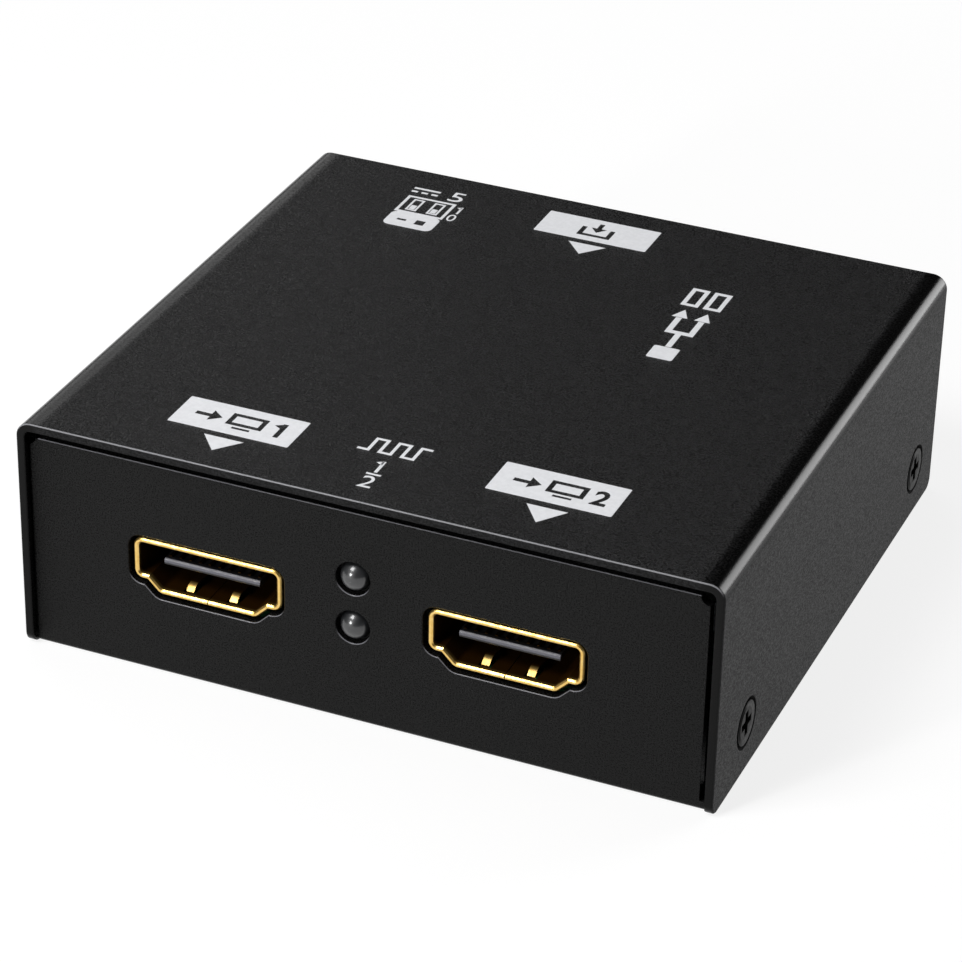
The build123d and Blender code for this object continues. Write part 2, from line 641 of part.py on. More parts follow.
def port_contacts():
    """Contacts that lie on the tongue, leave at the back and turn down to the board."""
    tip = PORT_FACE_RECESS + TONGUE_SETBACK + CONTACT_SETBACK
    back = PORT_FACE_RECESS + PORT_DEPTH + CONTACT_BACK_GAP
    turn = back + CONTACT_THICKNESS
    floor = -PORT_AXIS_ABOVE_BOARD
    contacts = []
    for count, low, high in contact_rows():
        outline = [(tip, high), (turn, high), (turn, floor), (back, floor), (back, low), (tip, low)]
        for index in range(count):
            x = (index - (count - 1) / 2) * CONTACT_PITCH
            contacts.append(ribbon(outline, span(CONTACT_WIDTH, x)))
    return contacts


def port_insulator():
    """Moulded insulator: a plug in the back of the shell, the recessed tongue and a foot on the board."""
    back = PORT_FACE_RECESS + PORT_DEPTH
    front = back - INSULATOR_DEPTH
    tongue_tip = PORT_FACE_RECESS + TONGUE_SETBACK
    plug = port_face()
    plug = chamfer(outer_corners(plug), PORT_CORNER_RADIUS)
    plug = offset(plug, amount=-INSULATOR_CLEARANCE, kind=Kind.INTERSECTION)
    body = port_prism(plug, front, back)
    tongue = block(span(TONGUE_WIDTH), (tongue_tip, back), span(TONGUE_THICKNESS, TONGUE_RISE))
    tongue = chamfer(tongue.edges().filter_by(Axis.X).group_by(Axis.Y)[0], TONGUE_NOSE)
    body += tongue
    body += block(span(INSULATOR_FOOT_WIDTH), (back - INSULATOR_FOOT_DEPTH, back), (-PORT_AXIS_ABOVE_BOARD, 0))
    start = tongue_tip + CONTACT_SETBACK - CONTACT_CLEARANCE
    for count, low, high in contact_rows():
        recess_x = span((count - 1) * CONTACT_PITCH + CONTACT_WIDTH + 2 * CONTACT_CLEARANCE)
        recess_z = (low - CONTACT_CLEARANCE, high + CONTACT_CLEARANCE)
        body -= block(recess_x, (start, back + OVERRUN), recess_z)
    return body


# Link lamps

def lamp():
    """Domed lamp along local Y, its tip just proud of the panel's face."""
    centre = LAMP_RADIUS - LAMP_PROUD
    back = LAMP_LENGTH - LAMP_PROUD
    flange = back - LAMP_FLANGE_THICKNESS
    arc_x = LAMP_RADIUS * ARC_MIDDLE_SHARE
    edges = [
        ThreePointArc((0, -LAMP_PROUD), (arc_x, centre - arc_x), (LAMP_RADIUS, centre)),
        Polyline((LAMP_RADIUS, centre), (LAMP_RADIUS, flange), (LAMP_FLANGE_RADIUS, flange)),
        Polyline((LAMP_FLANGE_RADIUS, flange), (LAMP_FLANGE_RADIUS, back), (0, back), (0, -LAMP_PROUD)),
    ]
    body = revolve(make_face(edges), axis=Axis.Y)
    flat = block(
        (LAMP_FLANGE_RADIUS - LAMP_FLAT, LAMP_FLANGE_RADIUS + OVERRUN),
        (flange, back),
        span(2 * LAMP_FLANGE_RADIUS),
    )
    return body - flat


def lead_backs():
    """How far behind the panel's face each lamp's leads turn down, upper lamp first."""
    lower = LAMP_LENGTH - LAMP_PROUD + LEAD_BEND_BACK
    return (lower + LEAD_ROW_STEP, lower)


def lamp_leads():
    """Wire leads that run back from each lamp and turn down through the board."""
    leads = []
    start = LAMP_LENGTH - LAMP_PROUD
    for place, back in zip(LAMP_PLACES, lead_backs()):
        bottom = LEAD_TIP_Z - place.position.Z
        half = LEAD_SIZE / 2
        outline = [
            (start, half),
            (back + LEAD_SIZE, half),
            (back + LEAD_SIZE, bottom),
            (back, bottom),
            (back, -half),
            (start, -half),
        ]
        for side in SIDES:
            leads.append(place * ribbon(outline, span(LEAD_SIZE, side * LEAD_SPACING / 2)))
    return leads


def lamp_holder():
    """Moulded block on the board whose two bores carry the lamps, with their flanges behind it."""
    front = CHASSIS_SHEET + LAMP_HOLDER_PANEL_GAP
    back = LAMP_LENGTH - LAMP_PROUD - LAMP_FLANGE_THICKNESS
    top = LAMP_HEIGHTS[0] + LAMP_FLANGE_RADIUS + LAMP_HOLDER_TOP_WALL
    holder = block(span(LAMP_HOLDER_WIDTH), (front, back), (BOARD_TOP, top))
    holder = chamfer(holder.edges().filter_by(Axis.Y).group_by(Axis.Z)[-1], LAMP_HOLDER_CHAMFER)
    holder = front_place(LAMP_X, 0) * holder
    for place in LAMP_PLACES:
        holder -= rod(LAMP_RADIUS + LAMP_CLEARANCE, front - OVERRUN, back + OVERRUN, place)
    return holder


# Power inlet

def jack_front():
    """Depth of the inlet's collar behind the panel's face."""
    return CHASSIS_SHEET + JACK_PANEL_GAP


def jack_housing():
    """Moulded inlet: round nose in the panel, square collar, waisted body and socket bore."""
    front = jack_front()
    back = front + JACK_DEPTH
    collar_back = front + JACK_COLLAR_DEPTH
    base = -JACK_AXIS_ABOVE_BOARD
    collar = block(span(JACK_WIDTH), (front, collar_back), (base, JACK_TOP))
    body = block(span(JACK_WIDTH - 2 * JACK_WAIST), (collar_back, back), (base, JACK_TOP - JACK_WAIST))
    body = fillet(body.edges().filter_by(Axis.Y).group_by(Axis.Z)[-1], JACK_ROUND)
    nose = rod(JACK_NOSE_RADIUS, JACK_NOSE_RECESS, front, Pos(0, 0, 0))
    housing = collar + body + nose
    bore_end = JACK_NOSE_RECESS + JACK_BORE_DEPTH
    housing -= rod(JACK_BORE_RADIUS, JACK_NOSE_RECESS - OVERRUN, bore_end, Pos(0, 0, 0))
    lip = housing.edges().filter_by(GeomType.CIRCLE).group_by(Axis.Y)[0].sort_by(SortBy.RADIUS)[0]
    housing = chamfer(lip, JACK_MOUTH_CHAMFER)
    housing -= rod(JACK_PIN_RADIUS + CLINCH_CLEARANCE, bore_end - OVERRUN, back + OVERRUN, Pos(0, 0, 0))
    slot_width = SLEEVE_SPRING_WIDTH + 2 * SLEEVE_SLOT_CLEARANCE
    slot_front = front + SLEEVE_SPRING_TIP - SLEEVE_SLOT_CLEARANCE
    slot_back = front + SLEEVE_SPRING_ROOT + BLADE_THICKNESS + SLEEVE_SLOT_CLEARANCE
    housing -= block(span(slot_width), (slot_front, slot_back), (base - OVERRUN, 0))
    return housing


def jack_pin():
    """Turned centre pin with a bevelled tip and a tail that passes through the rear blade."""
    front = JACK_NOSE_RECESS + JACK_PIN_SETBACK
    tail = jack_front() + JACK_DEPTH + BLADE_THICKNESS + JACK_PIN_TAIL
    pin = rod(JACK_PIN_RADIUS, front, tail, Pos(0, 0, 0))
    return chamfer(pin.edges().group_by(Axis.Y)[0], JACK_PIN_TIP_CHAMFER)


def jack_blade_slots():
    """Slots in the board for the inlet's two blades, in the inlet's frame."""
    low = BOARD_UNDERSIDE - JACK_Z - OVERRUN
    high = BOARD_TOP - JACK_Z + OVERRUN
    back = jack_front() + JACK_DEPTH
    root = jack_front() + SLEEVE_SPRING_ROOT
    slots = []
    for start, width in ((back, BLADE_WIDTH), (root, SLEEVE_SPRING_WIDTH)):
        y = (start - LEG_CLEARANCE, start + BLADE_THICKNESS + LEG_CLEARANCE)
        slots.append(block(span(width + 2 * LEG_CLEARANCE), y, (low, high)))
    return slots


def jack_terminals():
    """Rear blade riveted to the pin, and the sleeve's leaf spring with its own blade."""
    back = jack_front() + JACK_DEPTH
    bottom = LEAD_TIP_Z - JACK_Z
    blade = block(span(BLADE_WIDTH), (back, back + BLADE_THICKNESS), (bottom, BLADE_TOP))
    blade -= rod(JACK_PIN_RADIUS + CLINCH_CLEARANCE, back - OVERRUN, back + OVERRUN, Pos(0, 0, 0))
    front = jack_front()
    wall = -JACK_BORE_RADIUS
    root = front + SLEEVE_SPRING_ROOT
    leaf = [
        (front + SLEEVE_SPRING_TIP, wall),
        (front + SLEEVE_SPRING_PEAK, wall + SLEEVE_SPRING_RISE),
        (root + BLADE_THICKNESS, wall),
        (root + BLADE_THICKNESS, bottom),
        (root, bottom),
        (root, wall - BLADE_THICKNESS),
        (front + SLEEVE_SPRING_PEAK, wall + SLEEVE_SPRING_RISE - BLADE_THICKNESS),
        (front + SLEEVE_SPRING_TIP, wall - BLADE_THICKNESS),
    ]
    return [blade, ribbon(leaf, span(SLEEVE_SPRING_WIDTH))]


# Setting switch

def switch_front():
    """Depth of the switch's face behind the panel's face."""
    return CHASSIS_SHEET + SWITCH_PANEL_GAP


def switch_cover_depth():
    """Depth of the switch's front moulding, face wall and slider cavity together."""
    return SWITCH_FACE_WALL + SLIDER_FLANGE_THICKNESS + SLIDER_CLEARANCE


def switch_ways():
    """Places of the sliders across the switch."""
    return [(index - (SWITCH_WAYS - 1) / 2) * SWITCH_PITCH for index in range(SWITCH_WAYS)]


def switch_window():
    """Window in the rear panel, a little smaller than the switch's face."""
    width = SWITCH_WIDTH - 2 * SWITCH_WINDOW_BORDER
    height = SLIDER_HEIGHT + SLIDER_TRAVEL + 2 * SWITCH_FACE_WALL
    return block(span(width), (-OVERRUN, CHASSIS_SHEET + OVERRUN), span(height))


def switch_cover():
    """Front moulding with a slot for each slider and the cavity its flange runs in."""
    front = switch_front()
    back = front + switch_cover_depth()
    cover = block(span(SWITCH_WIDTH), (front, back), (-SWITCH_AXIS_ABOVE_BOARD, SWITCH_TOP))
    cover = chamfer(cover.faces().sort_by(Axis.Y)[0].edges(), SWITCH_EDGE)
    travel_room = SLIDER_TRAVEL + 2 * SLIDER_CLEARANCE
    for x in switch_ways():
        slot_x = span(SLIDER_WIDTH + 2 * SLIDER_CLEARANCE, x)
        slot_z = span(SLIDER_HEIGHT + travel_room)
        cover -= block(slot_x, (front - OVERRUN, back), slot_z)
        flange = 2 * SLIDER_FLANGE_BORDER
        cavity_x = span(SLIDER_WIDTH + flange + 2 * SLIDER_CLEARANCE, x)
        cavity_z = span(SLIDER_HEIGHT + flange + travel_room)
        cover -= block(cavity_x, (front + SWITCH_FACE_WALL, back + OVERRUN), cavity_z)
    return cover


def terminal_points():
    """Places of the switch's terminals in the switch's frame."""
    back = switch_front() + switch_cover_depth()
    rows = (back + TERMINAL_FRONT, back + SWITCH_BASE_DEPTH - TERMINAL_FRONT)
    return [(x, y) for x in switch_ways() for y in rows]


def switch_base():
    """Rear moulding that closes the sliders' cavities and holds the terminals."""
    front = switch_front() + switch_cover_depth()
    base = block(span(SWITCH_WIDTH), (front, front + SWITCH_BASE_DEPTH), (-SWITCH_AXIS_ABOVE_BOARD, SWITCH_TOP))
    base = chamfer(base.faces().sort_by(Axis.Y)[-1].edges().filter_by(Axis.X).group_by(Axis.Z)[-1], SWITCH_EDGE)
    hole = LEAD_SIZE + 2 * CLINCH_CLEARANCE
    low = -SWITCH_AXIS_ABOVE_BOARD
    for x, y in terminal_points():
        base -= block(span(hole, x), span(hole, y), (low - OVERRUN, low + TERMINAL_DEPTH + CLINCH_CLEARANCE))
    return base


def switch_terminals():
    """Square pins pressed into the switch's base that pass through the board."""
    bottom = LEAD_TIP_Z - SWITCH_Z
    top = -SWITCH_AXIS_ABOVE_BOARD + TERMINAL_DEPTH
    return [block(span(LEAD_SIZE, x), span(LEAD_SIZE, y), (bottom, top)) for x, y in terminal_points()]


def switch_slider(x):
    """One slider at its lower stop: a knob through the slot and a flange behind the face wall."""
    front = switch_front()
    middle = -SLIDER_TRAVEL / 2
    flange_front = front + SWITCH_FACE_WALL
    running = SLIDER_CLEARANCE / 2
    knob = block(span(SLIDER_WIDTH, x), (front - SLIDER_PROUD, flange_front + running), span(SLIDER_HEIGHT, middle))
    flange = block(
        span(SLIDER_WIDTH + 2 * SLIDER_FLANGE_BORDER, x),
        (flange_front + running, flange_front + running + SLIDER_FLANGE_THICKNESS),
        span(SLIDER_HEIGHT + 2 * SLIDER_FLANGE_BORDER, middle),
    )
    return knob + flange


# Parts on the board

def gull_leads(count, pitch, width, start, height):
    """Row of leads that leave a package at X = start and step down to the board's top."""
    knee = start + MEMORY_LEAD_REACH / 2
    end = start + MEMORY_LEAD_REACH
    thick = MEMORY_LEAD_THICKNESS
    outline = [
        (start, height + thick),
        (knee, height + thick),
        (knee, thick),
        (end, thick),
        (end, 0),
        (knee - thick, 0),
        (knee - thick, height),
        (start, height),
    ]
    face = make_face(Polyline(*outline, close=True))
    leads = []
    for index in range(count):
        y = (index - (count - 1) / 2) * pitch
        strip = extrude(Plane.XZ * face, amount=width / 2, both=True)
        leads.append(Pos(0, y, 0) * strip)
    return leads


def on_board(place_shares):
    """Frame on the board's top at shares of the case's width and depth."""
    return Pos(CASE_WIDTH * place_shares[0], CASE_DEPTH * place_shares[1], BOARD_TOP)


def splitter_chip():
    """Square package without leads, soldered flat on the board."""
    body = block(span(CHIP_SIZE), span(CHIP_SIZE), (0, CHIP_HEIGHT))
    body = chamfer(body.edges().filter_by(Axis.Z), CHIP_CORNER)
    return on_board(CHIP_PLACE_SHARES) * body


def memory_chip():
    """Small package with a row of leads on each long side."""
    body = block(span(MEMORY_WIDTH), span(MEMORY_LENGTH), (MEMORY_STANDOFF, MEMORY_HEIGHT))
    row = gull_leads(
        MEMORY_LEAD_COUNT, MEMORY_LEAD_PITCH, MEMORY_LEAD_WIDTH, MEMORY_WIDTH / 2, MEMORY_LEAD_HEIGHT)
    for turn in (0, 180):
        for lead in row:
            body += Rot(0, 0, turn) * lead
    return Pos(MEMORY_X, CHIP_Y, BOARD_TOP) * body


def crystal_can():
    """Low oval metal can with a welded rim."""
    rim_slot = SlotOverall(CRYSTAL_LENGTH, CRYSTAL_WIDTH)
    can_slot = SlotOverall(CRYSTAL_LENGTH - 2 * CRYSTAL_RIM, CRYSTAL_WIDTH - 2 * CRYSTAL_RIM)
    can = extrude(can_slot, amount=CRYSTAL_HEIGHT) + extrude(rim_slot, amount=CRYSTAL_RIM_HEIGHT)
    return Pos(CRYSTAL_X, CHIP_Y, BOARD_TOP) * Rot(0, 0, 90) * can


def voltage_regulator():
    """Regulator package with a wide tab on one side and three legs on the other."""
    body = block(span(REGULATOR_LENGTH), span(REGULATOR_WIDTH), (REGULATOR_STANDOFF, REGULATOR_HEIGHT))
    back = REGULATOR_WIDTH / 2
    foot = (0, REGULATOR_LEG_HEIGHT)
    body += block(span(REGULATOR_TAB_WIDTH), (0, back + REGULATOR_TAB_REACH), foot)
    for index in (-1, 0, 1):
        x = span(REGULATOR_LEG_WIDTH, index * REGULATOR_LEG_PITCH)
        body += block(x, (-back - REGULATOR_TAB_REACH, 0), foot)
    return on_board(REGULATOR_PLACE_SHARES) * body


def power_inductor():
    """Shielded inductor: a chamfered square shield with the round core just proud of it."""
    body = block(span(INDUCTOR_SIZE), span(INDUCTOR_SIZE), (0, INDUCTOR_HEIGHT))
    body = chamfer(body.edges().filter_by(Axis.Z), INDUCTOR_CORNER)
    body += upright(INDUCTOR_CORE_RADIUS, INDUCTOR_HEIGHT, INDUCTOR_HEIGHT + INDUCTOR_CORE_PROUD)
    return on_board(INDUCTOR_PLACE_SHARES) * body


def supply_capacitor():
    """Electrolytic can on its square plastic base."""
    can = upright(CAN_RADIUS, CAN_BASE_HEIGHT, CAN_HEIGHT)
    base = block(span(CAN_BASE_SIZE), span(CAN_BASE_SIZE), (0, CAN_BASE_HEIGHT))
    base = chamfer(base.edges().filter_by(Axis.Z).group_by(Axis.X)[0], CAN_BASE_CHAMFER)
    return on_board(CAN_PLACE_SHARES) * (can + base)


def chip_capacitors():
    """Two rows of small chip capacitors beside the splitter chip."""
    parts = []
    for side in SIDES:
        for index in range(CHIP_CAP_COUNT):
            y = CHIP_Y + (index - (CHIP_CAP_COUNT - 1) / 2) * CHIP_CAP_PITCH
            cap = block(span(CHIP_CAP_LENGTH), span(CHIP_CAP_WIDTH), (0, CHIP_CAP_HEIGHT))
            parts.append(Pos(CHIP_X + side * CHIP_CAP_REACH, y, BOARD_TOP) * cap)
    return parts


def build_parts():
    """All pieces by name, each as one solid or a list of separate solids."""
    parts = {
        "top_cover": top_cover(),
        "base_chassis": base_chassis(),
        "cover_screws": cover_screws(),
        "standoffs": at_standoffs(standoff()),
        "board_screws": at_standoffs(board_screw()),
        "main_board": main_board(),
        "link_lamp_holder": lamp_holder(),
        "link_lamp_leads": lamp_leads(),
        "power_inlet_housing": JACK_PLACE * jack_housing(),
        "power_inlet_pin": JACK_PLACE * jack_pin(),
        "power_inlet_terminals": [JACK_PLACE * terminal for terminal in jack_terminals()],
        "switch_cover": SWITCH_PLACE * switch_cover(),
        "switch_base": SWITCH_PLACE * switch_base(),
        "switch_terminals": [SWITCH_PLACE * pin for pin in switch_terminals()],
        "splitter_chip": splitter_chip(),
        "memory_chip": memory_chip(),
        "crystal_can": crystal_can(),
        "voltage_regulator": voltage_regulator(),
        "power_inductor": power_inductor(),
        "supply_capacitor": supply_capacitor(),
        "chip_capacitors": chip_capacitors(),
    }
    for name, place in PORT_PLACES.items():
        parts[f"{name}_shell"] = place * port_shell()
        parts[f"{name}_insulator"] = place * port_insulator()
        parts[f"{name}_contacts"] = [place * contact for contact in port_contacts()]
    for number, place in enumerate(LAMP_PLACES, start=1):
        parts[f"link_lamp_{number}"] = place * lamp()
    for number, x in enumerate(reversed(switch_ways()), start=1):
        parts[f"switch_slider_{number}"] = SWITCH_PLACE * switch_slider(x)
    return parts


def write_parts(parts):
    """Writes one STEP file for each piece."""
    os.makedirs("parts", exist_ok=True)
    for name, shape in parts.items():
        if isinstance(shape, list):
            shape = Compound(children=shape)
        export_step(shape, f"parts/{name}.step")


if __name__ == "__main__":
    write_parts(build_parts())
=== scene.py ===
"""Dresses, lights and frames the two-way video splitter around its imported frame.

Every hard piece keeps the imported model's shape. This script gives each one the finish that
it has in use, prints the marks on the lid, and sets up the floor, the studio light and the
camera. Lengths of pieces are in millimetres until a piece is placed in the frame.
"""
import logging
import math
from dataclasses import dataclass, field
from enum import Enum
from functools import lru_cache
from typing import Any, Callable, Optional, Union

import bmesh
import bpy
from mathutils import Matrix, Vector


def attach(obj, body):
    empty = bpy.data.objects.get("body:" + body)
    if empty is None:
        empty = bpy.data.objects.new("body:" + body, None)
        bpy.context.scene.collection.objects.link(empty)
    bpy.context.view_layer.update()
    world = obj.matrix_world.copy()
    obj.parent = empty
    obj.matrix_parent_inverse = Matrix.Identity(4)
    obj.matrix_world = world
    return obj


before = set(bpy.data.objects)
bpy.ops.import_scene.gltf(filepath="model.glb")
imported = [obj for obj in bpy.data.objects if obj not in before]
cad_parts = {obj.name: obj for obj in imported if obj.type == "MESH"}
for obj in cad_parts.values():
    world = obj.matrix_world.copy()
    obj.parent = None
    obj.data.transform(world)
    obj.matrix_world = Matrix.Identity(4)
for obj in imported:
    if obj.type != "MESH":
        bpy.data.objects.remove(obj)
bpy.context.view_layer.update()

LOG = logging.getLogger("splitter")
MM = 0.001

# Where the case stands, in millimetres
COVER_SIDE_X = 34.25
COVER_FRONT_Y = 32.3
COVER_FOLD_X = 32.75
COVER_SCREW_Y = (-24.1, 26.0)
COVER_SCREW_Z = 5.15
LID_TOP = 23.8

# Noise values between which a grain goes from its one tone to the other
GRAIN_BAND = (0.3, 0.7)
COAT_ROUGHNESS = 0.18
BEVEL_SAMPLES = 6
SOFT_STEP = {"interpolation_type": "SMOOTHSTEP"}

Span = tuple[float, float]
Point = tuple[float, float]
Socket = bpy.types.NodeSocket
Level = Union[Socket, float]


# Colours and nodes

def linear(colour: str) -> tuple[float, float, float, float]:
    """Turns an sRGB hex colour into linear light.

    Args:
        colour: Six hex digits after a hash sign.

    Returns:
        Red, green, blue and full opacity.
    """
    channels = [int(colour[start:start + 2], 16) / 255 for start in (1, 3, 5)]
    red, green, blue = (c / 12.92 if c <= 0.04045 else ((c + 0.055) / 1.055) ** 2.4 for c in channels)
    return (red, green, blue, 1.0)


def add_node(
    tree: bpy.types.NodeTree, kind: str, inputs: Optional[dict[Any, Any]] = None, **settings: Any
) -> bpy.types.Node:
    """Adds one shader node with its settings and links.

    Args:
        tree: The nodes of a material or of the world.
        kind: The node's type, without its leading "ShaderNode".
        inputs: Values or sockets by the input's name or number. A socket is linked.
        settings: The node's own properties.

    Returns:
        The new node.
    """
    node = tree.nodes.new("ShaderNode" + kind)
    for name, value in settings.items():
        setattr(node, name, value)
    for key, value in (inputs or {}).items():
        if isinstance(value, Socket):
            tree.links.new(value, node.inputs[key])
        else:
            node.inputs[key].default_value = value
    return node


@dataclass(frozen=True)
class Ramp:
    """A soft step from one level to another.

    Attributes:
        start: Value up to which the first level holds.
        end: Value from which the second level holds.
        low: The first level.
        high: The second level.
    """

    start: float
    end: float
    low: float = 0.0
    high: float = 1.0

    @classmethod
    def before(cls, place: float, band: Span, low: float = 0.0, high: float = 1.0) -> "Ramp":
        """Makes a step between two distances before a place."""
        return cls(place - band[0], place - band[1], low, high)

    def inputs(self, value: Socket) -> dict[str, Level]:
        """Gives the inputs with which a MapRange node makes this step over a value."""
        ends = {"From Min": self.start, "From Max": self.end}
        return {"Value": value, **ends, "To Min": self.low, "To Max": self.high}


@dataclass(frozen=True)
class Surface:
    """What a finish reads of the surface that it covers, in millimetres of the case's frame.

    Attributes:
        tree: The material's nodes.
        place: The place, as a vector.
        across: Distance from the plane between left and right.
        along: Distance from the plane between front and rear.
        side: -1 on the front half and 1 on the rear half.
        level: Height over the floor.
        normal: Where the surface faces, as a vector.
        facing_y: How far it faces the rear, or the front where this is negative.
        facing_z: How far it faces up.
    """

    tree: bpy.types.NodeTree
    place: Socket
    across: Socket
    along: Socket
    side: Socket
    level: Socket
    normal: Socket
    facing_y: Socket
    facing_z: Socket

    @classmethod
    def read(cls, tree: bpy.types.NodeTree) -> "Surface":
        """Adds the nodes that read a surface.

        Args:
            tree: The material's nodes.

        Returns:
            The sockets that they give.
        """
        coordinates = add_node(tree, "TexCoord").outputs
        per_mm = (1 / MM, 1 / MM, 1 / MM)
        scaled = add_node(tree, "VectorMath", {0: coordinates["Object"], 1: per_mm}, operation="MULTIPLY")
        place = scaled.outputs["Vector"]
        parts = add_node(tree, "SeparateXYZ", {"Vector": place}).outputs
        facing = add_node(tree, "SeparateXYZ", {"Vector": coordinates["Normal"]}).outputs
        return cls(
            tree=tree,
            place=place,
            across=add_node(tree, "Math", {0: parts["X"]}, operation="ABSOLUTE").outputs["Value"],
            along=add_node(tree, "Math", {0: parts["Y"]}, operation="ABSOLUTE").outputs["Value"],
            side=add_node(tree, "Math", {0: parts["Y"]}, operation="SIGN").outputs["Value"],
            level=parts["Z"],
            normal=coordinates["Normal"],
            facing_y=facing["Y"],
            facing_z=facing["Z"],
        )

    def screw_distance(self) -> Socket:
        """Gives the distance from the axis of the nearest cover screw.

        Returns:
            The distance in the plane of the case's sides.
        """
        flat = add_node(self.tree, "VectorMath", {0: self.place, 1: (0.0, 1.0, 1.0)}, operation="MULTIPLY")
        distances = []
        for screw_y in COVER_SCREW_Y:
            ends = {0: flat.outputs["Vector"], 1: (0.0, screw_y, COVER_SCREW_Z)}
            distances.append(add_node(self.tree, "VectorMath", ends, operation="DISTANCE").outputs["Value"])
        nearest = {0: distances[0], 1: distances[1]}
        return add_node(self.tree, "Math", nearest, operation="MINIMUM").outputs["Value"]


# Finishes

@dataclass(frozen=True)
class Finish:
    """What a surface is made of, down to its grain.

    Attributes:
        name: The material's name.
        colour: Its main colour.
        second: The colour that it wavers towards along its grain.
        grain: Size of the grain's features in millimetres.
        relief: Height of the grain in millimetres.
        roughness: Middle of its roughness.
        waver: How far the roughness goes to each side along the grain.
        metallic: 1 for bare metal, 0 for paint and plastic.
        specular: Strength of its surface reflection, 0.5 for a plain dielectric.
        coat: Strength of a clear glossy layer over it.
        rounding: Radius to which its sharp edges look rounded, in millimetres.
        octaves: How many ever finer layers the grain has.
        fineness: How strong each finer layer is beside the one before.
    """

    name: str
    colour: str
    second: str
    grain: float = 0.5
    relief: float = 0.0
    roughness: float = 0.5
    waver: float = 0.05
    metallic: float = 0.0
    specular: float = 0.5
    coat: float = 0.0
    rounding: float = 0.05
    octaves: float = 3.0
    fineness: float = 0.6

    def pattern(self, surface: Surface) -> Socket:
        """Gives the grain, between 0 and 1.

        Args:
            surface: The surface that it covers.

        Returns:
            The grain's socket.
        """
        settings = {
            "Vector": surface.place,
            "Scale": 1 / self.grain,
            "Detail": self.octaves,
            "Roughness": self.fineness,
        }
        return add_node(surface.tree, "TexNoise", settings).outputs["Fac"]

    def other_colours(self, surface: Surface) -> list[tuple[Socket, str]]:
        """Gives where other colours lie over the main ones, in order, and which."""
        return []

    def other_sheens(self, surface: Surface) -> list[tuple[Socket, Level]]:
        """Gives where the roughness differs, in order, and what it is there."""
        return []

    def tint(self, surface: Surface, grain: Socket) -> Socket:
        """Gives the colour, which wavers along the grain, with the other colours over it.

        Args:
            surface: The surface that it covers.
            grain: Its grain.

        Returns:
            The colour's socket.
        """
        tree = surface.tree
        along_grain = add_node(tree, "MapRange", Ramp(*GRAIN_BAND).inputs(grain), **SOFT_STEP)
        colour: Any = linear(self.colour)
        layers = [(along_grain.outputs["Result"], self.second), *self.other_colours(surface)]
        for share, other in layers:
            inputs = {"Factor": share, "A": colour, "B": linear(other)}
            colour = add_node(tree, "Mix", inputs, data_type="RGBA").outputs["Result"]
        return colour

    def sheen(self, surface: Surface, grain: Socket) -> Socket:
        """Gives the roughness, which wavers along the grain, with the other ones over it.

        Args:
            surface: The surface that it covers.
            grain: Its grain.

        Returns:
            The roughness's socket.
        """
        tree = surface.tree
        waver = Ramp(*GRAIN_BAND, self.roughness - self.waver, self.roughness + self.waver)
        level = add_node(tree, "MapRange", waver.inputs(grain), **SOFT_STEP).outputs["Result"]
        for share, other in self.other_sheens(surface):
            inputs = {"Factor": share, "A": level, "B": other}
            level = add_node(tree, "Mix", inputs).outputs["Result"]
        return level

    def height(self, surface: Surface, grain: Socket) -> Socket:
        """Gives the surface's height in millimetres."""
        factors = {0: grain, 1: self.relief}
        return add_node(surface.tree, "Math", factors, operation="MULTIPLY").outputs["Value"]

    def strength(self, surface: Surface) -> Level:
        """Gives how much of the height shows, 1 for all of it."""
        return 1.0

    def make(self) -> bpy.types.Material:
        """Builds the material.

        Returns:
            A node material that reads object coordinates.
        """
        material = bpy.data.materials.new(self.name)
        material.use_nodes = True
        tree = material.node_tree
        tree.nodes.clear()
        surface = Surface.read(tree)
        grain = self.pattern(surface)
        rounded = add_node(tree, "Bevel", {"Radius": self.rounding * MM}, samples=BEVEL_SAMPLES)
        bump = add_node(tree, "Bump", {
            "Strength": self.strength(surface),
            "Distance": MM,
            "Height": self.height(surface, grain),
            "Normal": rounded.outputs["Normal"],
        })
        shader = add_node(tree, "BsdfPrincipled", {
            "Base Color": self.tint(surface, grain),
            "Roughness": self.sheen(surface, grain),
            "Metallic": self.metallic,
            "Specular IOR Level": self.specular,
            "Coat Weight": self.coat,
            "Coat Roughness": COAT_ROUGHNESS,
            "Normal": bump.outputs["Normal"],
        })
        add_node(tree, "OutputMaterial", {"Surface": shader.outputs["BSDF"]})
        return material


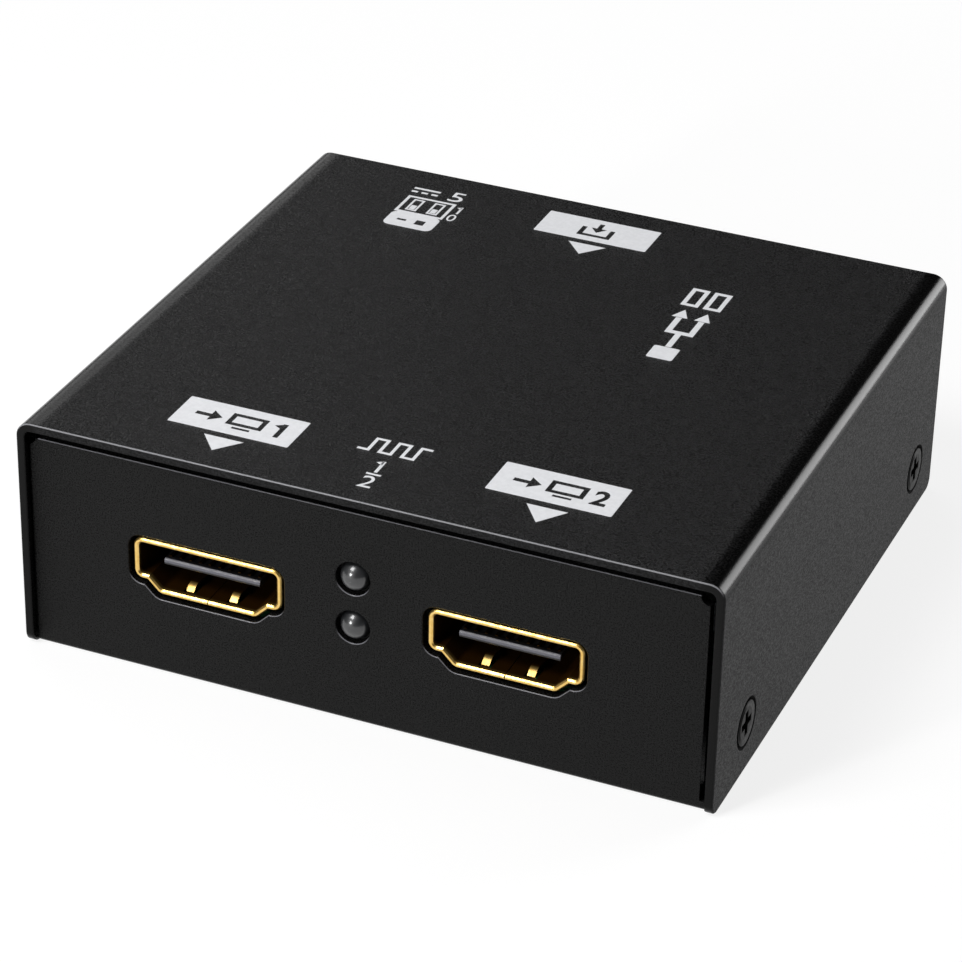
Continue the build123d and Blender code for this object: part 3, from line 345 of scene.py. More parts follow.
@dataclass(frozen=True)
class PowderCoat(Finish):
    """Powder coat, grained on the flats and drawn smooth over every fold and edge.

    Attributes:
        wrinkles: Share of the wrinkles in the grain. The rest is grit.
        grit: How many times finer the grit is.
        parted: How sharply wrinkles and hollows part.
        turned: Where a surface is an edge, by the largest part of its normal.
        rising: Where an edge faces up enough to take the painted highlight.
        outward: Where it faces the front or rear enough to take it.
        edge_roughness: Roughness where the coat is drawn smooth.
    """

    wrinkles: float = 0.75
    grit: float = 2.5
    parted: Ramp = Ramp(0.38, 0.62, 0.2, 0.8)
    turned: Ramp = Ramp(0.9, 0.995, 1.0, 0.0)
    rising: Ramp = Ramp(0.2, 0.6)
    outward: Ramp = Ramp(0.2, 0.5)
    edge_roughness: float = 0.22

    def edges(self, surface: Surface) -> Socket:
        """Gives 1 where the surface turns from one side of the case to another, and 0 on the flats.

        Args:
            surface: The surface that it covers.

        Returns:
            The edges' socket.
        """
        tree = surface.tree
        sizes = add_node(tree, "VectorMath", {0: surface.normal}, operation="ABSOLUTE").outputs["Vector"]
        parts = add_node(tree, "SeparateXYZ", {"Vector": sizes}).outputs
        larger = add_node(tree, "Math", {0: parts["X"], 1: parts["Y"]}, operation="MAXIMUM").outputs["Value"]
        largest = add_node(tree, "Math", {0: larger, 1: parts["Z"]}, operation="MAXIMUM").outputs["Value"]
        return add_node(tree, "MapRange", self.turned.inputs(largest), **SOFT_STEP).outputs["Result"]

    def highlight_edges(self, surface: Surface) -> Socket:
        """Gives 1 on the front and rear edges that face up, which take the painted highlights.

        Args:
            surface: The surface that it covers.

        Returns:
            The upper edges' socket.
        """
        tree = surface.tree
        size = add_node(tree, "Math", {0: surface.facing_y}, operation="ABSOLUTE").outputs["Value"]
        outward = add_node(tree, "MapRange", self.outward.inputs(size), **SOFT_STEP).outputs["Result"]
        rising = add_node(tree, "MapRange", self.rising.inputs(surface.facing_z), **SOFT_STEP)
        ways = {0: rising.outputs["Result"], 1: outward}
        painted_edge_shading = add_node(tree, "Math", ways, operation="MULTIPLY").outputs["Value"]
        shares = {0: self.edges(surface), 1: painted_edge_shading}
        return add_node(tree, "Math", shares, operation="MULTIPLY").outputs["Value"]

    def pattern(self, surface: Surface) -> Socket:
        """Gives rounded wrinkles with a little finer grit on them.

        Args:
            surface: The surface that it covers.

        Returns:
            The grain's socket.
        """
        tree = surface.tree
        fine = {"Vector": surface.place, "Scale": self.grit / self.grain}
        specks = add_node(tree, "TexNoise", fine).outputs["Fac"]
        layers = []
        for layer, share in ((super().pattern(surface), self.wrinkles), (specks, 1 - self.wrinkles)):
            layers.append(add_node(tree, "Math", {0: layer, 1: share}, operation="MULTIPLY").outputs["Value"])
        both = add_node(tree, "Math", {0: layers[0], 1: layers[1]}, operation="ADD").outputs["Value"]
        return add_node(tree, "MapRange", self.parted.inputs(both), **SOFT_STEP).outputs["Result"]

    def other_sheens(self, surface: Surface) -> list[tuple[Socket, Level]]:
        """Makes the edges smoother."""
        return [(self.edges(surface), self.edge_roughness)]

    def strength(self, surface: Surface) -> Level:
        """Shows the wrinkles on the flats alone."""
        inputs = {0: 1.0, 1: self.edges(surface)}
        return add_node(surface.tree, "Math", inputs, operation="SUBTRACT").outputs["Value"]


@dataclass(frozen=True)
class ChassisCoat(PowderCoat):
    """The chassis's coat, with a painted highlight in grey along the cut edges that face up.

    Attributes:
        painted_edge_shading: Colour of the painted highlight on those edges.
        cut: Height from which the edges are cut ones, and not the lower folds.
    """

    painted_edge_shading: str = "#66666A"
    cut: Ramp = Ramp(1.2, 1.3)

    def other_colours(self, surface: Surface) -> list[tuple[Socket, str]]:
        """Lays the painted highlight along the cut edges.

        Args:
            surface: The surface that it covers.

        Returns:
            Where it lies, with its colour.
        """
        tree = surface.tree
        # Painted highlight in grey on the cut edges that face up.
        cut = add_node(tree, "MapRange", self.cut.inputs(surface.level), **SOFT_STEP).outputs["Result"]
        shares = {0: self.highlight_edges(surface), 1: cut}
        share = add_node(tree, "Math", shares, operation="MULTIPLY").outputs["Value"]
        return [(share, self.painted_edge_shading)]


@dataclass(frozen=True)
class CoverCoat(PowderCoat):
    """The cover's coat, with painted shade by the folds and screw holes, painted edge highlights and
    dry-sprayed sides.

    Bands are pairs of distances before the fold, the side or the front edge, in millimetres.

    Attributes:
        thin: Colour of the painted shade beside the folds and in the screws' holes.
        painted_shade_band: Where the painted shade starts, before the folds.
        painted_shade_end_band: Where it ends again, before the sides.
        painted_edge_shading: Colour of the painted highlight on the lid's front and rear edges.
        painted_highlight_band: Where it starts.
        hole: Radius round a screw within which the countersink takes the painted shade and its own roughness.
        hole_roughness: Roughness there.
        side_band: Where the sides' spray starts.
        cut_band: Where the cut front and rear edges start.
        side_roughness: Roughness on the sides and the cut edges.
        side_waver: How far that roughness goes to each side along the grain.
        side_grain: Size of the dry spray's specks.
        side_octaves: How many ever finer layers the specks have.
        side_stretch: Scale of their pattern from front to rear, along which the spray gun passes.
        lid_band: Where the lid's wrinkles end, before the folds.
        side_relief: Share of the wrinkles that shows on the sides.
    """

    thin: str = "#020202"
    painted_shade_band: Span = (1.1, 0.1)
    painted_shade_end_band: Span = (0.1, 0.01)
    painted_edge_shading: str = "#77777A"
    painted_highlight_band: Span = (0.2, 0.12)
    hole: Ramp = Ramp(2.52, 2.55, 1.0, 0.0)
    hole_roughness: float = 1.0
    side_band: Span = (0.15, 0.01)
    cut_band: Span = (0.02, 0.005)
    side_roughness: float = 0.6
    side_waver: float = 0.13
    side_grain: float = 0.095
    side_octaves: float = 1.0
    side_stretch: float = 0.4
    lid_band: Span = (1.4, 0.3)
    side_relief: float = 0.12

    def on_side(self, surface: Surface) -> Socket:
        """Gives 1 on the upright sides and 0 elsewhere."""
        start = Ramp.before(COVER_SIDE_X, self.side_band).inputs(surface.across)
        return add_node(surface.tree, "MapRange", start, **SOFT_STEP).outputs["Result"]

    def in_hole(self, surface: Surface) -> Socket:
        """Gives 1 in the screws' countersinks and 0 elsewhere."""
        rim = self.hole.inputs(surface.screw_distance())
        return add_node(surface.tree, "MapRange", rim, **SOFT_STEP).outputs["Result"]

    def other_colours(self, surface: Surface) -> list[tuple[Socket, str]]:
        """Lays the painted shade and then the painted highlight on the edges.

        Args:
            surface: The surface that it covers.

        Returns:
            Where the two lie, with their colours.
        """
        tree = surface.tree
        # Painted shade beside the folds, on to the sides, and in the screws' countersinks.
        fold = Ramp.before(COVER_FOLD_X, self.painted_shade_band).inputs(surface.across)
        near = add_node(tree, "MapRange", fold, **SOFT_STEP).outputs["Result"]
        side = Ramp.before(COVER_SIDE_X, self.painted_shade_end_band, 1.0, 0.0).inputs(surface.across)
        past = add_node(tree, "MapRange", side, **SOFT_STEP).outputs["Result"]
        beside = add_node(tree, "Math", {0: near, 1: past}, operation="MULTIPLY").outputs["Value"]
        places = {0: beside, 1: self.in_hole(surface)}
        thin = add_node(tree, "Math", places, operation="MAXIMUM").outputs["Value"]
        # Painted highlight on the lid's front and rear edges that face up.
        front = Ramp.before(COVER_FRONT_Y, self.painted_highlight_band).inputs(surface.along)
        edge = add_node(tree, "MapRange", front, **SOFT_STEP).outputs["Result"]
        shares = {0: self.highlight_edges(surface), 1: edge}
        painted_edge_shading = add_node(tree, "Math", shares, operation="MULTIPLY").outputs["Value"]
        return [(thin, self.thin), (painted_edge_shading, self.painted_edge_shading)]

    def other_sheens(self, surface: Surface) -> list[tuple[Socket, Level]]:
        """Makes the folds smoother, and the sides, the cut edges and the screws' holes rougher.

        Args:
            surface: The surface that it covers.

        Returns:
            Where each lies, with its roughness.
        """
        tree = surface.tree
        stretch = {0: surface.place, 1: (1.0, self.side_stretch, 1.0)}
        drawn = add_node(tree, "VectorMath", stretch, operation="MULTIPLY").outputs["Vector"]
        specks = {"Vector": drawn, "Scale": 1 / self.side_grain, "Detail": self.side_octaves}
        spray = add_node(tree, "TexNoise", specks).outputs["Fac"]
        smoothest = self.side_roughness - self.side_waver
        roughest = self.side_roughness + self.side_waver
        waver = Ramp(*GRAIN_BAND, smoothest, roughest).inputs(spray)
        matt = add_node(tree, "MapRange", waver, **SOFT_STEP).outputs["Result"]
        front = Ramp.before(COVER_FRONT_Y, self.cut_band).inputs(surface.along)
        edge = add_node(tree, "MapRange", front, **SOFT_STEP).outputs["Result"]
        places = {0: self.on_side(surface), 1: edge}
        dry = add_node(tree, "Math", places, operation="MAXIMUM").outputs["Value"]
        hole = (self.in_hole(surface), self.hole_roughness)
        return [*super().other_sheens(surface), (dry, matt), hole]

    def strength(self, surface: Surface) -> Level:
        """Shows the wrinkles on the lid, hardly on the sides, and not beside the folds.

        Args:
            surface: The surface that it covers.

        Returns:
            The strength's socket.
        """
        tree = surface.tree
        end = Ramp.before(COVER_FOLD_X, self.lid_band, 1.0, 0.0).inputs(surface.across)
        lid = add_node(tree, "MapRange", end, **SOFT_STEP).outputs["Result"]
        faint = {0: self.on_side(surface), 1: self.side_relief}
        side = add_node(tree, "Math", faint, operation="MULTIPLY").outputs["Value"]
        shown = add_node(tree, "Math", {0: lid, 1: side}, operation="MAXIMUM").outputs["Value"]
        shares = {0: super().strength(surface), 1: shown}
        return add_node(tree, "Math", shares, operation="MULTIPLY").outputs["Value"]


@dataclass(frozen=True)
class ScrewSteel(Finish):
    """Blackened steel, with painted shade in the screw's recess and round the rim of its head.

    Attributes:
        face_band: Where the heads' faces start, before the case's sides.
        painted_edge_shading: Radius beyond which the head's rim takes the painted shade.
        rim: How far the head is rounded down, by the radius.
        shadow: Colour in the recess and round the rim.
    """

    face_band: Span = (0.12, 0.03)
    painted_edge_shading: Ramp = Ramp(1.7, 1.8)
    rim: Ramp = Ramp(1.5, 2.15, 0.0, 0.42)
    shadow: str = "#020202"

    def other_colours(self, surface: Surface) -> list[tuple[Socket, str]]:
        """Lays the painted shade behind the face and round it.

        Args:
            surface: The surface that it covers.

        Returns:
            Where it lies, with its colour.
        """
        tree = surface.tree
        # Painted shade in the recess behind the head's face and round the head's rim.
        face = Ramp.before(COVER_SIDE_X, self.face_band, 1.0, 0.0).inputs(surface.across)
        behind = add_node(tree, "MapRange", face, **SOFT_STEP).outputs["Result"]
        painted_edge_shading = self.painted_edge_shading.inputs(surface.screw_distance())
        around = add_node(tree, "MapRange", painted_edge_shading, **SOFT_STEP).outputs["Result"]
        places = {0: behind, 1: around}
        share = add_node(tree, "Math", places, operation="MAXIMUM").outputs["Value"]
        return [(share, self.shadow)]

    def height(self, surface: Surface, grain: Socket) -> Socket:
        """Gives the grain's height, less the rim's rounding.

        Args:
            surface: The surface that it covers.
            grain: Its grain.

        Returns:
            The height's socket, in millimetres.
        """
        rim = self.rim.inputs(surface.screw_distance())
        drop = add_node(surface.tree, "MapRange", rim, **SOFT_STEP).outputs["Result"]
        levels = {0: super().height(surface, grain), 1: drop}
        return add_node(surface.tree, "Math", levels, operation="SUBTRACT").outputs["Value"]


@dataclass(frozen=True)
class PortGold(Finish):
    """Gold plate, bright on the rim of a port, with painted shade that darkens it to brown inside the port.

    Attributes:
        depth: How much painted shade there is, by the distance from the case's middle.
        slope: How much of the painted shade stays, by how far the surface faces out of the port.
        port_shade: Colour of the painted shade inside the port.
        deep_roughness: Roughness inside the port.
    """

    depth: Ramp = Ramp(30.6, 31.2, 1.0, 0.0)
    slope: Ramp = Ramp(0.05, 0.3, 1.0, 0.45)
    port_shade: str = "#4E310D"
    deep_roughness: float = 0.5

    def port_shade_share(self, surface: Surface) -> Socket:
        """Gives the painted shade's share: 0 at the rim, under 1 on faces turned out of the port, 1 elsewhere
        inside.

        Args:
            surface: The surface that it covers.

        Returns:
            The share's socket.
        """
        tree = surface.tree
        # Painted shade, darker further into the port and lighter on faces that turn out of it.
        ways = {0: surface.side, 1: surface.facing_y}
        outward = add_node(tree, "Math", ways, operation="MULTIPLY").outputs["Value"]
        port_shade = add_node(tree, "MapRange", self.depth.inputs(surface.along), **SOFT_STEP).outputs["Result"]
        facing_shade = add_node(tree, "MapRange", self.slope.inputs(outward), **SOFT_STEP).outputs["Result"]
        return add_node(tree, "Math", {0: port_shade, 1: facing_shade}, operation="MINIMUM").outputs["Value"]

    def other_colours(self, surface: Surface) -> list[tuple[Socket, str]]:
        """Lays the painted shade, in brown, inside."""
        return [(self.port_shade_share(surface), self.port_shade)]

    def other_sheens(self, surface: Surface) -> list[tuple[Socket, Level]]:
        """Makes the inside rougher."""
        return [(self.port_shade_share(surface), self.deep_roughness)]


@dataclass(frozen=True)
class PortMoulding(Finish):
    """Black moulding with a painted highlight in grey on the upper front of its nose.

    Attributes:
        front: Where the nose starts, by the distance from the case's middle.
        upper: Where the painted highlight starts, by the height.
        nose: Colour of the painted highlight on the nose.
    """

    front: Ramp = Ramp(30.0, 30.2)
    upper: Ramp = Ramp(11.2, 11.3)
    nose: str = "#55555D"

    def other_colours(self, surface: Surface) -> list[tuple[Socket, str]]:
        """Lays the painted highlight on the nose.

        Args:
            surface: The surface that it covers.

        Returns:
            Where it lies, with its colour.
        """
        tree = surface.tree
        # Painted highlight in grey on the upper part of the nose's front.
        front = add_node(tree, "MapRange", self.front.inputs(surface.along), **SOFT_STEP).outputs["Result"]
        upper = add_node(tree, "MapRange", self.upper.inputs(surface.level), **SOFT_STEP).outputs["Result"]
        nose = add_node(tree, "Math", {0: front, 1: upper}, operation="MULTIPLY").outputs["Value"]
        return [(nose, self.nose)]


@dataclass(frozen=True)
class BoardLaminate(Finish):
    """Green solder mask over copper runs.

    Attributes:
        run_pitch: Distance between neighbouring runs in millimetres.
        run_width: Width of a run, as a share of the pitch.
        run_length: Length of a run, as a multiple of the pitch.
        over_copper: Colour of the mask where copper lies under it.
    """

    run_pitch: float = 1.2
    run_width: float = 0.18
    run_length: float = 7.0
    over_copper: str = "#155632"

    def other_colours(self, surface: Surface) -> list[tuple[Socket, str]]:
        """Lays the lighter runs.

        Args:
            surface: The surface that it covers.

        Returns:
            Where they lie, with their colour.
        """
        settings = {
            "Vector": surface.place,
            "Scale": 1 / self.run_pitch,
            "Mortar Size": self.run_width,
            "Brick Width": self.run_length,
            "Row Height": 1.0,
            "Color1": (0, 0, 0, 1),
            "Color2": (0, 0, 0, 1),
            "Mortar": (1, 1, 1, 1),
        }
        return [(add_node(surface.tree, "TexBrick", settings).outputs["Color"], self.over_copper)]


# Wrinkled black powder coat, sprayed and baked on folded steel: a soft broken sheen.
COVER_COAT = CoverCoat(
    "wrinkled_powder_coat", "#020202", "#1B1B1C", grain=0.22, relief=0.075, roughness=0.24, waver=0.08,
    specular=0.15, rounding=0.3)
# The chassis has the smoother coat of the same black: an even, nearly matt front.
CHASSIS_COAT = ChassisCoat(
    "smooth_powder_coat", "#050505", "#171717", grain=0.15, relief=0.03, roughness=0.33, waver=0.08,
    specular=0.095, rounding=0.08)
# Blackened steel: almost as dark as the coat, with a harder sheen on its edges.
BLACK_OXIDE = ScrewSteel(
    "black_oxide_steel", "#090909", "#121212", grain=0.3, relief=0.003, roughness=0.5, waver=0.06,
    specular=0.1, rounding=0.06)
# Zinc-plated steel: bright, faintly blue, with fine turning marks.
ZINC_PLATE = Finish(
    "zinc_plated_steel", "#B9BDC2", "#A3A7AD", grain=0.3, relief=0.002, roughness=0.32, waver=0.06,
    metallic=1.0)
# Gold flash over nickel on formed brass: warm and mirror-like on the rim, with painted shade inside the port.
SHELL_GOLD = PortGold(
    "gold_flashed_shell", "#F2D083", "#E7BC66", grain=0.6, relief=0.0005, roughness=0.34, waver=0.04,
    metallic=1.0)
# Hard gold on the contacts, far inside the port, darkened to brown by painted shade.
SHADED_CONTACT_GOLD = Finish(
    "shaded_hard_gold_contact", "#33220C", "#281A08", grain=0.2, relief=0.0005, roughness=0.5, waver=0.05,
    metallic=1.0)
# Black liquid-crystal polymer: matt, with a painted highlight in grey on the upper front of its nose.
TONGUE_MOULDING = PortMoulding(
    "black_lcp_moulding", "#141416", "#1B1B1D", grain=0.4, relief=0.003, roughness=0.42, waver=0.05)
# Black nylon: plain moulded plastic with a spark-eroded grain.
NYLON = Finish(
    "black_nylon_moulding", "#161617", "#202021", grain=0.3, relief=0.005, roughness=0.5, waver=0.06)
# Smoked epoxy, cast round the lamp: dark and glossy, with a soft highlight on the dome.
SMOKED_EPOXY = Finish(
    "smoked_epoxy_lens", "#17181A", "#1F2022", grain=1.2, relief=0.001, roughness=0.42, waver=0.02,
    specular=0.5, coat=1.0)
# Tinned copper wire and blades: pale and slightly frosted.
TIN = Finish(
    "tinned_copper", "#C9C9C4", "#B4B4AE", grain=0.25, relief=0.002, roughness=0.38, waver=0.06,
    metallic=1.0)
# Nickel-plated brass: a warm bright turned pin.
NICKEL = Finish(
    "nickel_plated_brass", "#C8C2B5", "#B7B0A2", grain=0.2, relief=0.001, roughness=0.2, waver=0.04,
    metallic=1.0)
# White nylon: clean and slightly glossy, a little yellowed.
WHITE_NYLON = Finish(
    "white_nylon_moulding", "#E4E3DD", "#DAD9D2", grain=0.4, relief=0.002, roughness=0.36, waver=0.05)
# Glass laminate under green solder mask, lighter over its copper runs.
LAMINATE = BoardLaminate(
    "green_solder_mask", "#0A2F1B", "#0D3A21", grain=0.6, relief=0.004, roughness=0.3, waver=0.06)
# Black moulded epoxy of chip packages: matt and fine-grained.
CHIP_EPOXY = Finish(
    "black_epoxy_package", "#1E1E1F", "#272728", grain=0.15, relief=0.003, roughness=0.6, waver=0.05)
# Drawn aluminium and steel cans: satin with faint draw marks.
DRAWN_CAN = Finish(
    "drawn_metal_can", "#BFC1C3", "#A9ACAF", grain=0.5, relief=0.002, roughness=0.34, waver=0.07,
    metallic=1.0)
# Fired ceramic: brown and even.
CERAMIC = Finish(
    "fired_ceramic", "#8A6F55", "#9C8066", grain=0.2, relief=0.002, roughness=0.45, waver=0.05)
# Ground ferrite: dark grey with tiny pits.
FERRITE = Finish(
    "ground_ferrite", "#3A3A3C", "#4A4A4D", grain=0.2, relief=0.006, roughness=0.62, waver=0.08)
# Screen-printed epoxy ink: chalk white and nearly even.
SCREEN_INK = Finish(
    "screen_printed_ink", "#DFE0E3", "#D7D8DB", grain=0.5, relief=0.002, roughness=0.55, waver=0.05,
    specular=0.3)


@lru_cache(maxsize=None)
def material_of(finish: Finish) -> bpy.types.Material:
    """Builds a finish's material once, however many pieces have it."""
    return finish.make()


def put_on(node: str, finish: Finish) -> None:
    """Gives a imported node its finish.

    Args:
        node: The node's name in the frame.
        finish: The finish that all of it gets.
    """
    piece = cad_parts[node]
    material = material_of(finish)
    if not piece.material_slots:
        piece.data.materials.append(material)
    for place in piece.material_slots:
        place.material = material
    LOG.info("%s has %s", node, finish.name)


# Modelling by hand

class Part(Enum):
    """What is picked in edit mode."""

    VERTEX = "VERT"
    EDGE = "EDGE"


class Side(Enum):
    """A direction on the lid."""

    LEFT = (-1.0, 0.0)
    RIGHT = (1.0, 0.0)
    FRONT = (0.0, -1.0)
    REAR = (0.0, 1.0)


@dataclass(frozen=True)
class Box:
    """A rectangle on the lid, in millimetres.

    Attributes:
        x: Its limits across the lid.
        y: Its limits along the lid.
    """

    x: Span
    y: Span

    def moved(self, across: float, along: float) -> "Box":
        """Gives the same rectangle at another place."""
        return Box((self.x[0] + across, self.x[1] + across), (self.y[0] + along, self.y[1] + along))


def clear_selection() -> None:
    """Leaves object mode with nothing selected, so that an operator acts on one new piece."""
    if bpy.context.object is not None and bpy.context.object.mode != "OBJECT":
        bpy.ops.object.mode_set(mode="OBJECT")
    bpy.ops.object.select_all(action="DESELECT")


def select_only(piece: bpy.types.Object) -> None:
    """Makes one piece the selected and active one.

    Args:
        piece: The piece.
    """
    clear_selection()
    piece.select_set(True)
    bpy.context.view_layer.objects.active = piece


def pick(part: Part, test: Callable[[Vector], bool]) -> None:
    """Selects what lies where a test says, in edit mode.

    Args:
        part: Whether vertices or edges are picked.
        test: Tells from a middle whether it is picked.
    """
    bpy.ops.mesh.select_mode(type=part.value)
    bpy.ops.mesh.select_all(action="DESELECT")
    mesh = bpy.context.edit_object.data
    shape = bmesh.from_edit_mesh(mesh)
    items = shape.verts if part is Part.VERTEX else shape.edges
    for item in items:
        corners = [item] if part is Part.VERTEX else item.verts
        middle = sum((corner.co for corner in corners), Vector()) / len(corners)
        if test(middle):
            item.select_set(True)
    bmesh.update_edit_mesh(mesh)


@dataclass(frozen=True)
class Stencil:
    """Models flat printed shapes, in millimetres of the case's frame.

    Attributes:
        bottom: Underside of the layer.
        top: Upper side of the layer.
        corner_steps: Number of edges round a rounded corner.
        curve_steps: Number of edges along each curve of a digit.
        pick_share: How near its place an edge is picked, as a share of half a line's width.
        merge_distance: Distance under which a digit's vertices are merged.
        rough_depth: Half the depth of a digit before it is brought to the layer's thickness.
    """

    bottom: float
    top: float
    corner_steps: int = 4
    curve_steps: int = 5
    pick_share: float = 0.1
    merge_distance: float = 0.0005
    rough_depth: float = 0.5

    def _sheet(self, box: Box) -> bpy.types.Object:
        """Starts a flat rectangle and leaves it in edit mode, all selected.

        Args:
            box: The rectangle.

        Returns:
            The open mesh.
        """
        clear_selection()
        middle = (sum(box.x) / 2, sum(box.y) / 2, self.bottom)
        bpy.ops.mesh.primitive_plane_add(size=1.0, location=middle)
        sheet = bpy.context.object
        sheet.scale = (box.x[1] - box.x[0], box.y[1] - box.y[0], 1.0)
        bpy.ops.object.transform_apply(location=True, rotation=True, scale=True)
        bpy.ops.object.mode_set(mode="EDIT")
        bpy.ops.mesh.select_all(action="SELECT")
        return sheet

    def _raise(self) -> None:
        """Gives the flat shape in edit mode its thickness and closes it."""
        bpy.ops.mesh.select_mode(type="FACE")
        bpy.ops.mesh.select_all(action="SELECT")
        bpy.ops.mesh.extrude_region_move(TRANSFORM_OT_translate={"value": (0, 0, self.top - self.bottom)})
        bpy.ops.mesh.select_all(action="SELECT")
        bpy.ops.mesh.normals_make_consistent(inside=False)
        bpy.ops.object.mode_set(mode="OBJECT")

    def plate(self, box: Box, rounding: float = 0.0) -> bpy.types.Object:
        """Models a filled rectangle.

        Args:
            box: The rectangle.
            rounding: Radius of its corners.

        Returns:
            The closed thin mesh.
        """
        sheet = self._sheet(box)
        if rounding > 0:
            bpy.ops.mesh.bevel(offset=rounding, segments=self.corner_steps, affect="VERTICES")
        self._raise()
        return sheet

    def wedge(self, box: Box, towards: Side) -> bpy.types.Object:
        """Models a triangle that fills a rectangle and points to one side.

        Args:
            box: The rectangle.
            towards: The side where its tip is.

        Returns:
            The closed thin mesh.
        """
        sheet = self._sheet(box)
        middle = Vector((sum(box.x) / 2, sum(box.y) / 2, self.bottom))
        direction = Vector((*towards.value, 0.0))
        pick(Part.VERTEX, lambda corner: (corner - middle).dot(direction) > 0)
        bpy.ops.mesh.merge(type="CENTER")
        self._raise()
        return sheet

    def border(self, box: Box, line: float) -> bpy.types.Object:
        """Models the outline of a rectangle.

        Args:
            box: Its outer limits.
            line: Width of the line.

        Returns:
            The closed thin mesh.
        """
        sheet = self._sheet(box)
        bpy.ops.mesh.inset(thickness=line)
        bpy.ops.mesh.delete(type="FACE")
        self._raise()
        return sheet

    def run(self, points: list[Point], line: float) -> bpy.types.Object:
        """Models a line that turns square corners.

        Args:
            points: The corners that its middle passes, each straight across or along from the last.
            line: Width of the line.

        Returns:
            The closed thin mesh.
        """
        first = points[0]
        half = line / 2
        sheet = self._sheet(Box((first[0] - half, first[0] + half), (first[1] - half, first[1] + half)))
        for start, end in zip(points, points[1:]):
            step = Vector((end[0] - start[0], end[1] - start[1], 0.0))
            direction = step.normalized()
            edge = Vector((*start, self.bottom)) + direction * half
            pick(Part.EDGE, lambda middle, edge=edge: (middle - edge).length < half * self.pick_share)
            for length in (step.length - line, line):
                bpy.ops.mesh.extrude_edges_move(TRANSFORM_OT_translate={"value": direction * length})
        self._raise()
        return sheet

    def number(self, digits: str, box: Box, weight: float = 0.0) -> bpy.types.Object:
        """Models a plain number that fills a rectangle.

        Args:
            digits: The number.
            box: The rectangle.
            weight: How far its strokes are thickened, as a share of the type size.

        Returns:
            The closed thin mesh.
        """
        clear_selection()
        bpy.ops.object.text_add(location=(0, 0, 0))
        text = bpy.context.object
        text.data.body = digits
        text.data.offset = weight
        text.data.resolution_u = self.curve_steps
        text.data.extrude = self.rough_depth
        bpy.ops.object.convert(target="MESH")
        text = bpy.context.object
        low = Vector([min(v.co[axis] for v in text.data.vertices) for axis in range(3)])
        high = Vector([max(v.co[axis] for v in text.data.vertices) for axis in range(3)])
        wanted = ((box.x[0], box.y[0], self.bottom), (box.x[1], box.y[1], self.top))
        scale = [(wanted[1][axis] - wanted[0][axis]) / (high[axis] - low[axis]) for axis in range(3)]
        text.scale = scale
        text.location = [wanted[0][axis] - low[axis] * scale[axis] for axis in range(3)]
        bpy.ops.object.transform_apply(location=True, rotation=True, scale=True)
        bpy.ops.object.mode_set(mode="EDIT")
        bpy.ops.mesh.select_all(action="SELECT")
        bpy.ops.mesh.remove_doubles(threshold=self.merge_distance)
        bpy.ops.mesh.normals_make_consistent(inside=False)
        bpy.ops.object.mode_set(mode="OBJECT")
        return text

    def digit_one(self, box: Box, line: float, flag_share: float = 2.2) -> list[bpy.types.Object]:
        """Models the digit 1 as a stem with a flag to its left.

        Args:
            box: The rectangle that it fills.
            line: Width of the stem.
            flag_share: Height of the flag, as a multiple of the stem's width.

        Returns:
            Its two closed shapes.
        """
        stem = self.plate(Box((box.x[1] - line, box.x[1]), box.y))
        flag = Box((box.x[0], box.x[1] - line / 2), (box.y[1] - flag_share * line, box.y[1]))
        return [stem, self.wedge(flag, Side.LEFT)]


def cut_out(plate: bpy.types.Object, cutters: list[bpy.types.Object]) -> bpy.types.Object:
    """Cuts shapes out of a plate and removes the cutters.

    Args:
        plate: What is cut.
        cutters: Closed shapes that pass right through it.

    Returns:
        The plate.
    """
    for cutter in cutters:
        select_only(plate)
        modifier = plate.modifiers.new("cut", "BOOLEAN")
        modifier.operation = "DIFFERENCE"
        modifier.solver = "EXACT"
        modifier.object = cutter
        bpy.ops.object.modifier_apply(modifier=modifier.name)
        bpy.data.objects.remove(cutter)
    return plate


# Sub-assemblies

@dataclass
class CaseShell:
    """The folded cover and chassis with the screws that hold them together."""

    cover: str = "top_cover"
    chassis: str = "base_chassis"
    screws: str = "cover_screws"

    def dress(self) -> None:
        """Puts the coats and the blackening on."""
        put_on(self.cover, COVER_COAT)
        put_on(self.chassis, CHASSIS_COAT)
        put_on(self.screws, BLACK_OXIDE)


@dataclass
class VideoPort:
    """One port: its shell, the insulator with the tongue, and the contacts on it."""

    name: str

    def dress(self) -> None:
        """Puts the plating and the moulding on."""
        put_on(f"{self.name}_shell", SHELL_GOLD)
        put_on(f"{self.name}_insulator", TONGUE_MOULDING)
        put_on(f"{self.name}_contacts", SHADED_CONTACT_GOLD)


@dataclass
class LinkLamps:
    """The two lamps one above the other, with their holder and leads."""

    lamp_count: int = 2

    def dress(self) -> None:
        """Puts the lenses, the holder's plastic and the leads' tin on."""
        for number in range(1, self.lamp_count + 1):
            put_on(f"link_lamp_{number}", SMOKED_EPOXY)
        put_on("link_lamp_holder", NYLON)
        put_on("link_lamp_leads", TIN)


@dataclass
class PowerInlet:
    """The round supply socket on the rear panel."""

    housing: str = "power_inlet_housing"
    pin: str = "power_inlet_pin"
    terminals: str = "power_inlet_terminals"

    def dress(self) -> None:
        """Puts the housing's plastic and the metals on."""
        put_on(self.housing, NYLON)
        put_on(self.pin, NICKEL)
        put_on(self.terminals, TIN)


@dataclass
class SettingSwitch:
    """The two-way slide switch on the rear panel."""

    slider_count: int = 2

    def dress(self) -> None:
        """Puts the mouldings' plastic and the terminals' tin on."""
        put_on("switch_cover", NYLON)
        put_on("switch_base", NYLON)
        put_on("switch_terminals", TIN)
        for number in range(1, self.slider_count + 1):
            put_on(f"switch_slider_{number}", WHITE_NYLON)


